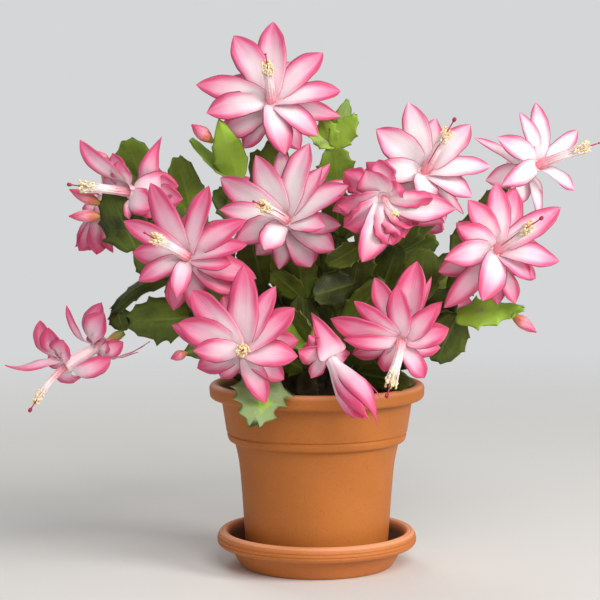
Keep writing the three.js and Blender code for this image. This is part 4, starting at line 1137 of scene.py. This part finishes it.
def make_tube(piece, seat, throat, face, spread):
    """Tube along a quadratic curve from the stem's tip to the throat, where it arrives along the flower's
    axis. Its radius is a bell curve for the small ovary plus smooth steps out to the mouth, which lies
    just inside the petals, and three rings lead back inside it to a shallow floor."""
    steps, sides = 26, 20
    mouth = throat - face * 3.2
    seat = np.array(seat, float)
    before = mouth - face * np.linalg.norm(mouth - seat) * 0.5
    share = np.linspace(0, 1, steps)
    line = arc(seat, before, mouth, share[:, None])
    ovary = 1.3 * np.exp(-(((share - 0.13) / 0.1) ** 2))
    radius = 1.7 + ovary + 1.2 * smooth(0.25, 0.7, share) + (THROAT_RADIUS - 2.9) * smooth(0.7, 1, share)
    radius = radius * (1 + (spread - 1) * smooth(0.3, 0.8, share))
    bend = np.cross(unit(line[1] - line[0]), face)
    hint = bend if np.linalg.norm(bend) > 0.05 else np.array([1.0, 0.02, 0.01])
    rings = pipe(line, radius, sides, hint)
    floor = [mouth + (rings[-1] - mouth) * shrink - face * deep
             for shrink, deep in ((0.85, 0.1), (0.6, 0.5), (0.3, 0.7))]
    along = np.concatenate([share, np.ones(len(floor))])
    piece.skin(np.concatenate([rings, floor]), pipe_uv(along, sides), float(DRAW.uniform(0, 1)), material=1)


# Flowers that look sideways and yet show their petals' faces to the front, and by what share of a full
# roll; the others do it by a tenth. Of their petals, counted from 0 round the inner ring and on round the
# outer one, a few stay edge on.
FACING = {"far_left": 0.75, "upper_left": 0.7, "hanging_left": 0.3, "far_right": 0.3, "drooping": 0.6}
EDGE_ON = {"far_left": {0, 11, 12}}

# How much wider than the others a flower's tube is at its mouth.
TUBE_SPREAD = {"far_left": 1.45, "upper_left": 1.2, "hanging_left": 1.2}

# Petals, counted in the same way, that are widest near their foot and taper straight to the tip.
WEDGES = {"drooping": {0}, "upper_left": {7}}

# Petals, counted in the same way, that spring from in front of their ring, and how far in front.
FORWARD = {"drooping": {0: 7.0}}

# A small bract at the foot of the petals: its reach, width and rise.
BRACT = (12, 7, -2)
BRACTS = 4


def make_petals(name, flower):
    """The tube and all petals of one flower: the inner ring at the throat, the outer ring behind it and
    small bracts further down. A petal's shade is how pink it is, and its underside is a little pinker."""
    piece = Piece()
    source = np.random.default_rng(sum(map(ord, name)))
    axes = flower_axes(flower["axis"])
    face, gap = axes[2], flower["gap"]
    throat = np.array(flower["throat"], float)
    spread = TUBE_SPREAD.get(name, 1.0)
    make_tube(piece, flower["seat"], throat, face, spread)

    # Each with how pink it is, its root as petal_rings takes it, and its ring's place along the axis.
    petals = [(petal, 1.0, (2.7 * spread, -4.5, 22), -1.0) for petal in flower["inner"]]
    petals += [(petal, 0.9, (2.6, -3.0, 30), -gap) for petal in flower["outer"]]
    base, apart = source.uniform(0, 90), 360 // BRACTS
    petals += [((base + apart * i, *BRACT), 1.1, (2.4, -2.0, 40), -gap - 7) for i in range(BRACTS)]
    for order, (petal, pinkness, root, place) in enumerate(petals):
        forward = FORWARD.get(name, {}).get(order, 0.0)
        petal = (*petal[:3], petal[3] - forward)
        middle = throat + face * (place + forward + (0.5 if order % 2 else -0.5))
        edge_on, wedge, smoothed = (order in rows.get(name, ()) for rows in (EDGE_ON, WEDGES, SMOOTH_PETALS))
        facing = 0.0 if edge_on else 1.0 if wedge else FACING.get(name, 0.1)
        ruffle = 1.0 if smoothed else RUFFLE.get(name, 1.0)
        rings, uv, side = petal_rings(axes, middle, petal, root, source, ruffle, facing, wedge)
        shade = 0.15 if smoothed else FLUSH[name] * pinkness + 0.4 * wedge
        piece.skin(rings, uv, shade + source.uniform(-0.08, 0.08) + 0.14 * (side < 0))
    if "closed" in flower:
        close_petals(piece, axes, throat, flower["closed"], source)
    piece.finish(f"bloom_{name}", [PETAL, TUBE], [f"flower_{name}_petals"], SOIL_TOP)


# Petals still wrapped in a trumpet, from the innermost out: middle and half spread round the axis in
# degrees, share of the trumpet's length, how far its tip stands off, and how pink it is.
WRAPPED = [
    (300, 90, 0.8, 0.0, 1.2), (15, 90, 0.84, 0.0, 1.3), (238, 75, 0.74, 0.0, 1.1), (60, 34, 0.76, 3.0, 1.5),
    (203, 72, 0.8, 0.0, 0.65), (158, 46, 0.93, 0.0, 1.35), (112, 56, 1.0, 0.0, 1.0),
]

# The trumpet's outline: shares of its length, from below its foot on, and shares of its radius there.
TRUMPET_PLACES = [-0.1, 0.02, 0.2, 0.42, 0.62, 0.82, 0.94, 1]
TRUMPET_RADII = np.array([0.3, 0.36, 0.62, 0.9, 0.93, 0.68, 0.34, 0.06])


def close_petals(piece, axes, throat, closed, source):
    """Petals wrapped round each other. At u from -1 to 1 across and v from 0 to 1 along, a petal's point
    lies at the angle middle + u * spread * shape(v) round the axis, at the trumpet's radius there times a
    share that grows with each petal below it, plus a small wave, a lift towards its tip and half its
    thickness. The shape grows as a sine and closes as 1 - t^2.4."""
    length, radius = closed
    right, up, face = axes
    u, side = sheet_loop(PETAL_ACROSS)
    v = np.linspace(0, 1, PETAL_ALONG)[:, None]
    closing = np.clip(1 - np.clip(v / 0.98, 0, 1) ** 2.4, 0.01, 1)
    shape = np.sin(np.pi / 2 * np.clip(0.35 + v / 0.5, 0, 1)) * closing
    for order, (middle, spread, share, lift, flush) in enumerate(WRAPPED):
        along = -4 + (share * length + 4) * v
        girth = np.interp(along / length, TRUMPET_PLACES, TRUMPET_RADII * radius)
        wave = 0.25 * u**2 * np.sin(9 * v + source.uniform(0, 6)) * smooth(0.2, 0.5, v)
        out = girth * (0.82 + 0.03 * order) + wave + lift * v**3 + 0.16 * side * (1 - u**2) + 0.1 * side
        turn = np.radians(middle + u * spread * shape)
        away = right * np.cos(turn)[..., None] + up * np.sin(turn)[..., None]
        piece.skin(throat + face * along[..., None] + away * out[..., None], sheet_uv(u, v), flush)


# Points along a style's line, the number of threads round it, the points along a thread, and how deep
# inside the tube they all begin.
COLUMN_STEPS = 60
THREADS, THREAD_STEPS = 84, 9
HIDDEN_LENGTH = 8

# Flowers with a small stigma, and its size as a share of the others'.
SMALL_STIGMA = {
    "top": 0.5, "centre": 0.55, "left": 0.55, "lower_left": 0.55, "far_right": 0.5, "ruffled": 0.6,
}

# Flowers with a slim column of few threads, and its radius and number of threads as a share of the
# others'.
SLIM_COLUMN = {"ruffled": 0.55, "far_left": 0.75}

# Flowers whose style lies on the near side of its threads.
STYLE_IN_FRONT = {"right", "upper_right", "centre", "back_right", "back_left"}


def column_line(flower, face):
    """Quadratic curve from inside the tube, past a point before the throat, to the stigma, in equal
    steps of length, and the length inside the tube as a share of the whole."""
    throat = np.array(flower["throat"], float)
    t = np.linspace(0, 1, 200)[:, None]
    root, bend, tip = throat - face * HIDDEN_LENGTH, throat + face * 6, throat + flower["stigma"]
    line = arc(root, bend, tip, t)
    run = np.concatenate([[0], np.cumsum(np.linalg.norm(np.diff(line, axis=0), axis=1))])
    return resampled(line, run, np.linspace(0, run[-1], COLUMN_STEPS)), HIDDEN_LENGTH / run[-1]


def outside(hidden, part):
    """Share of the whole line at the share part of its length outside the tube."""
    return hidden + (1 - hidden) * part


def add_core(piece, line, hidden, slim, hint):
    """The threads' common column: a fluted pipe as wide as its threads up to the share 0.45 of the way
    out, which narrows to 0.7 while they part from it."""
    steps, sides, flutes = 24, 36, 9
    places = outside(hidden, 0.7) * np.linspace(0, 1, steps)
    core = resampled(line, np.linspace(0, 1, COLUMN_STEPS), places)
    known = [0, hidden, *(outside(hidden, part) for part in (0.12, 0.45, 0.7))]
    girth = np.interp(places, known, [2.7, 2.9, 2.5, 2.5, 0.8]) * slim
    rings = pipe(core, girth[:, None] * (1 + 0.1 * np.cos(flutes * angles(sides))), sides, hint)
    piece.skin(rings, pipe_uv(np.linspace(0, 1, steps), sides), 0.3)


def add_threads(piece, line, across, over, hidden, slim, hint, source):
    """Thread i keeps its own angle and share of the column's radius, ends at its own share of the line and
    carries a small oblong anther."""
    count, last = int(THREADS * slim), COLUMN_STEPS - 1
    ends = outside(hidden, source.uniform(0.58, 0.85, count))
    reached = hidden + (ends[:, None] - hidden) * np.linspace(0, 1, THREAD_STEPS)
    low = np.clip((reached * last).astype(int), 0, last - 1)
    part = (reached * last - low)[..., None]

    def along(values):
        return values[low] * (1 - part) + values[low + 1] * part

    turn = source.uniform(0, 2 * np.pi, count)[:, None]
    run = (reached - hidden) / (1 - hidden)
    opened = 2.5 + 1.7 * smooth(0.3, 0.8, run) * run
    spread = np.sqrt(source.uniform(0.03, 1, count))[:, None] * opened * slim
    threads = along(line) + (along(across) * (np.cos(turn) * spread)[..., None]
                             + along(over) * (np.sin(turn) * spread)[..., None])
    radius = np.broadcast_to(np.linspace(0.24, 0.16, THREAD_STEPS), (count, THREAD_STEPS))
    piece.skin(pipe(threads, radius, 4, hint), pipe_uv(np.linspace(0, 1, THREAD_STEPS), 4), 0.3)
    lean = unit(threads[:, -1] - threads[:, -2] + source.normal(size=(count, 3)) * 0.9)
    reach = np.array([-1.0, -0.75, 0.0, 0.75, 1.0]) * 0.95
    girth = np.broadcast_to([0.12, 0.44, 0.6, 0.44, 0.12], (count, len(reach)))
    anthers = threads[:, -1][:, None, :] + lean[:, None, :] * reach[:, None]
    piece.skin(pipe(anthers, girth, 6, hint), pipe_uv(np.linspace(0, 1, len(reach)), 6), 0.5, material=1)


def add_style(piece, line, ahead, across, over, hidden, name, hint):
    """The style leaves the line towards the near side of the threads, or a little towards the far one,
    comes back to it at the end, and carries a stigma of six lobes, which open like a small cup."""
    share = np.linspace(0, 1, COLUMN_STEPS)
    lift = (2.5 if name in STYLE_IN_FRONT else -1.0) * smooth(hidden, outside(hidden, 0.15), share)
    style = line + over * (lift * (1 - smooth(outside(hidden, 0.5), 1.0, share)))[:, None]
    seen = style[::2]
    stalk = pipe(seen, np.full(len(seen), 0.4), 8, hint)
    piece.skin(stalk, pipe_uv(np.linspace(0, 1, len(seen)), 8), 0.5, material=2)
    size, lobes = SMALL_STIGMA.get(name, 1.0), angles(6)
    spokes = across[-1] * np.cos(lobes)[:, None] + over[-1] * np.sin(lobes)[:, None]
    rise = np.array([-0.6, 0.2, 1.0, 1.9, 2.4]) * size
    opening = np.array([0.1, 0.5, 0.7, 0.6, 0.35]) * size
    thick = np.broadcast_to(np.array([0.2, 0.55, 0.6, 0.5, 0.15]) * size, (len(lobes), len(rise)))
    stalks = style[-1] + ahead[-1] * rise[:, None] + spokes[:, None, :] * opening[:, None]
    piece.skin(pipe(stalks, thick, 6, hint), pipe_uv(np.ones(len(rise)), 6), 0.5, material=2)


def make_stamens(name, flower):
    """A column of white threads with the style lying along it. Across and over are square to the line,
    and over looks as far to the front and up as it can."""
    source = np.random.default_rng(5 + sum(map(ord, name)))
    _, up, face = flower_axes(flower["axis"])
    line, hidden = column_line(flower, face)
    ahead = unit(np.gradient(line, axis=0))
    front = unit(TO_FRONT + 0.35 * up)
    over = unit(front - ahead * (ahead @ front)[:, None])
    across = np.cross(over, ahead)
    hint = np.array([0.31, 0.2, 0.93]) if abs(face[2]) < 0.8 else np.array([1.0, 0.1, 0.2])
    slim = SLIM_COLUMN.get(name, 1.0)
    piece = Piece()
    add_core(piece, line, hidden, slim, hint)
    add_threads(piece, line, across, over, hidden, slim, hint, source)
    add_style(piece, line, ahead, across, over, hidden, name, hint)
    materials, stands_for = [FILAMENT, ANTHER, STYLE], [f"flower_{name}_stamens"]
    piece.finish(f"threads_{name}", materials, stands_for, SOIL_TOP)


def make_bud(name, seat, tip, radius):
    """A pointed bud: its radius follows a smoothed outline along it, and five wrapped petals raise shallow
    ridges that wind round it. Its shade marks the creases between them."""
    seat, tip = np.array(seat, float), np.array(tip, float)
    share = np.linspace(0, 1, 30)
    line = seat + (tip - seat) * (share * 1.02 - 0.02)[:, None]
    outline = np.interp(share, [0, 0.08, 0.22, 0.48, 0.75, 0.93, 1], [0.3, 0.42, 0.74, 1.0, 0.72, 0.28, 0.06])
    outline = np.convolve(np.pad(outline, 2, "edge"), np.ones(5) / 5, "valid")
    sides = 30
    wrap = np.mod(5 * angles(sides) / (2 * np.pi) + 1.3 * share[:, None], 1)
    step = wrap * 0.13 * smooth(0.12, 0.3, share)[:, None]
    rings = pipe(line, outline * radius, sides, np.array([0.2, 1.0, 0.1]))
    rings = line[:, None, :] + (rings - line[:, None, :]) * (0.92 + step)[..., None]
    crease = smooth(0.82, 1.0, wrap) + smooth(0.1, 0.0, wrap) * 0.6
    piece = Piece()
    piece.skin(rings, pipe_uv(share, sides), np.clip(crease, 0, 1) * smooth(0.15, 0.4, share)[:, None])
    piece.finish(f"young_bud_{name}", [BUD], [f"bud_{name}"], SOIL_TOP)


# ---------------------------------------------------------------- camera, floor and light


def make_camera():
    """A long lens in front of the plant, a little above the middle of it and looking 5 degrees down."""
    data = bpy.data.cameras.new("camera")
    data.lens = 120
    camera = add_object("camera", data)
    camera.location = (-0.0102, -1.2, 0.2658)
    camera.rotation_euler = (np.radians(85), 0, 0)
    bpy.context.scene.camera = camera


def make_floor():
    """A wide pale floor in one flat face, a little below the saucer's foot so that they don't share a face.
    It fades into the backdrop with distance from the middle."""
    half, drop = 6.0, 0.0002
    whole, gone = 0.4, 1.25
    mesh = bpy.data.meshes.new("floor")
    mesh.from_pydata([(-half, -half, -drop), (half, -half, -drop), (half, half, -drop), (-half, half, -drop)],
                     [], [(0, 1, 2, 3)])
    material, nodes, shader = new_material("floor")
    where = nodes.add("ShaderNodeTexCoord").outputs["Object"]
    far = nodes.add("ShaderNodeVectorMath", {"operation": "LENGTH"}, Vector=where).outputs["Value"]
    colour = nodes.mix(nodes.noise(3.0, 2.0), linear(222, 221, 218), linear(228, 227, 224))
    wear(nodes, shader, colour, 0.85)
    nodes.put(shader.inputs["Alpha"], nodes.range(far, gone, whole))
    mesh.materials.append(material)
    add_object("floor", mesh)


def make_light(name, place, target, size, power, colour):
    """A square area light at a place, turned to face its target."""
    data = bpy.data.lights.new(name, "AREA")
    data.size, data.energy, data.color = size, power, colour
    light = add_object(name, data)
    light.location = place
    way = np.array(target, float) - np.array(place, float)
    flat = np.hypot(way[0], way[1])
    light.rotation_euler = (np.pi / 2 + np.arctan2(way[2], flat), 0, np.arctan2(way[1], way[0]) - np.pi / 2)


def make_lights():
    """A soft key light from the right, a softer one from the front and above, weak ones from the left
    and behind, and an even backdrop all round, which looks brighter than the light it gives."""
    middle = (0, 0, 0.16)
    make_light("key", (1.5, -0.85, 0.85), middle, 0.7, 24, (1.0, 0.97, 0.93))
    make_light("front", (0.5, -1.6, 1.4), middle, 1.2, 26, (1.0, 0.99, 0.97))
    make_light("left", (-0.9, -1.5, 0.35), middle, 1.0, 2.5, (1.0, 0.98, 0.97))
    make_light("back", (-0.6, 1.5, 1.3), middle, 1.0, 8, (1.0, 1.0, 1.0))
    world = bpy.data.worlds.new("world")
    world.use_nodes = True
    nodes = Nodes(world.node_tree)
    backdrop = world.node_tree.nodes["Background"]
    backdrop.inputs[0].default_value = (0.98, 0.99, 1.0, 1)
    seen = nodes.add("ShaderNodeLightPath").outputs["Is Camera Ray"]
    given, shown = 0.27, 0.68
    nodes.put(backdrop.inputs[1], nodes.range(seen, 0.0, 1.0, given, shown))
    bpy.context.scene.world = world
    bpy.context.scene.view_settings.view_transform = "Standard"


make_camera()
make_floor()
make_lights()
make_pot()
make_saucer()
make_soil()
make_crumbs()
make_branches()
for flower_name, flower_layout in FLOWERS.items():
    make_petals(flower_name, flower_layout)
    if "closed" not in flower_layout:
        make_stamens(flower_name, flower_layout)
for bud_name, bud_layout in BUDS.items():
    make_bud(bud_name, **bud_layout)
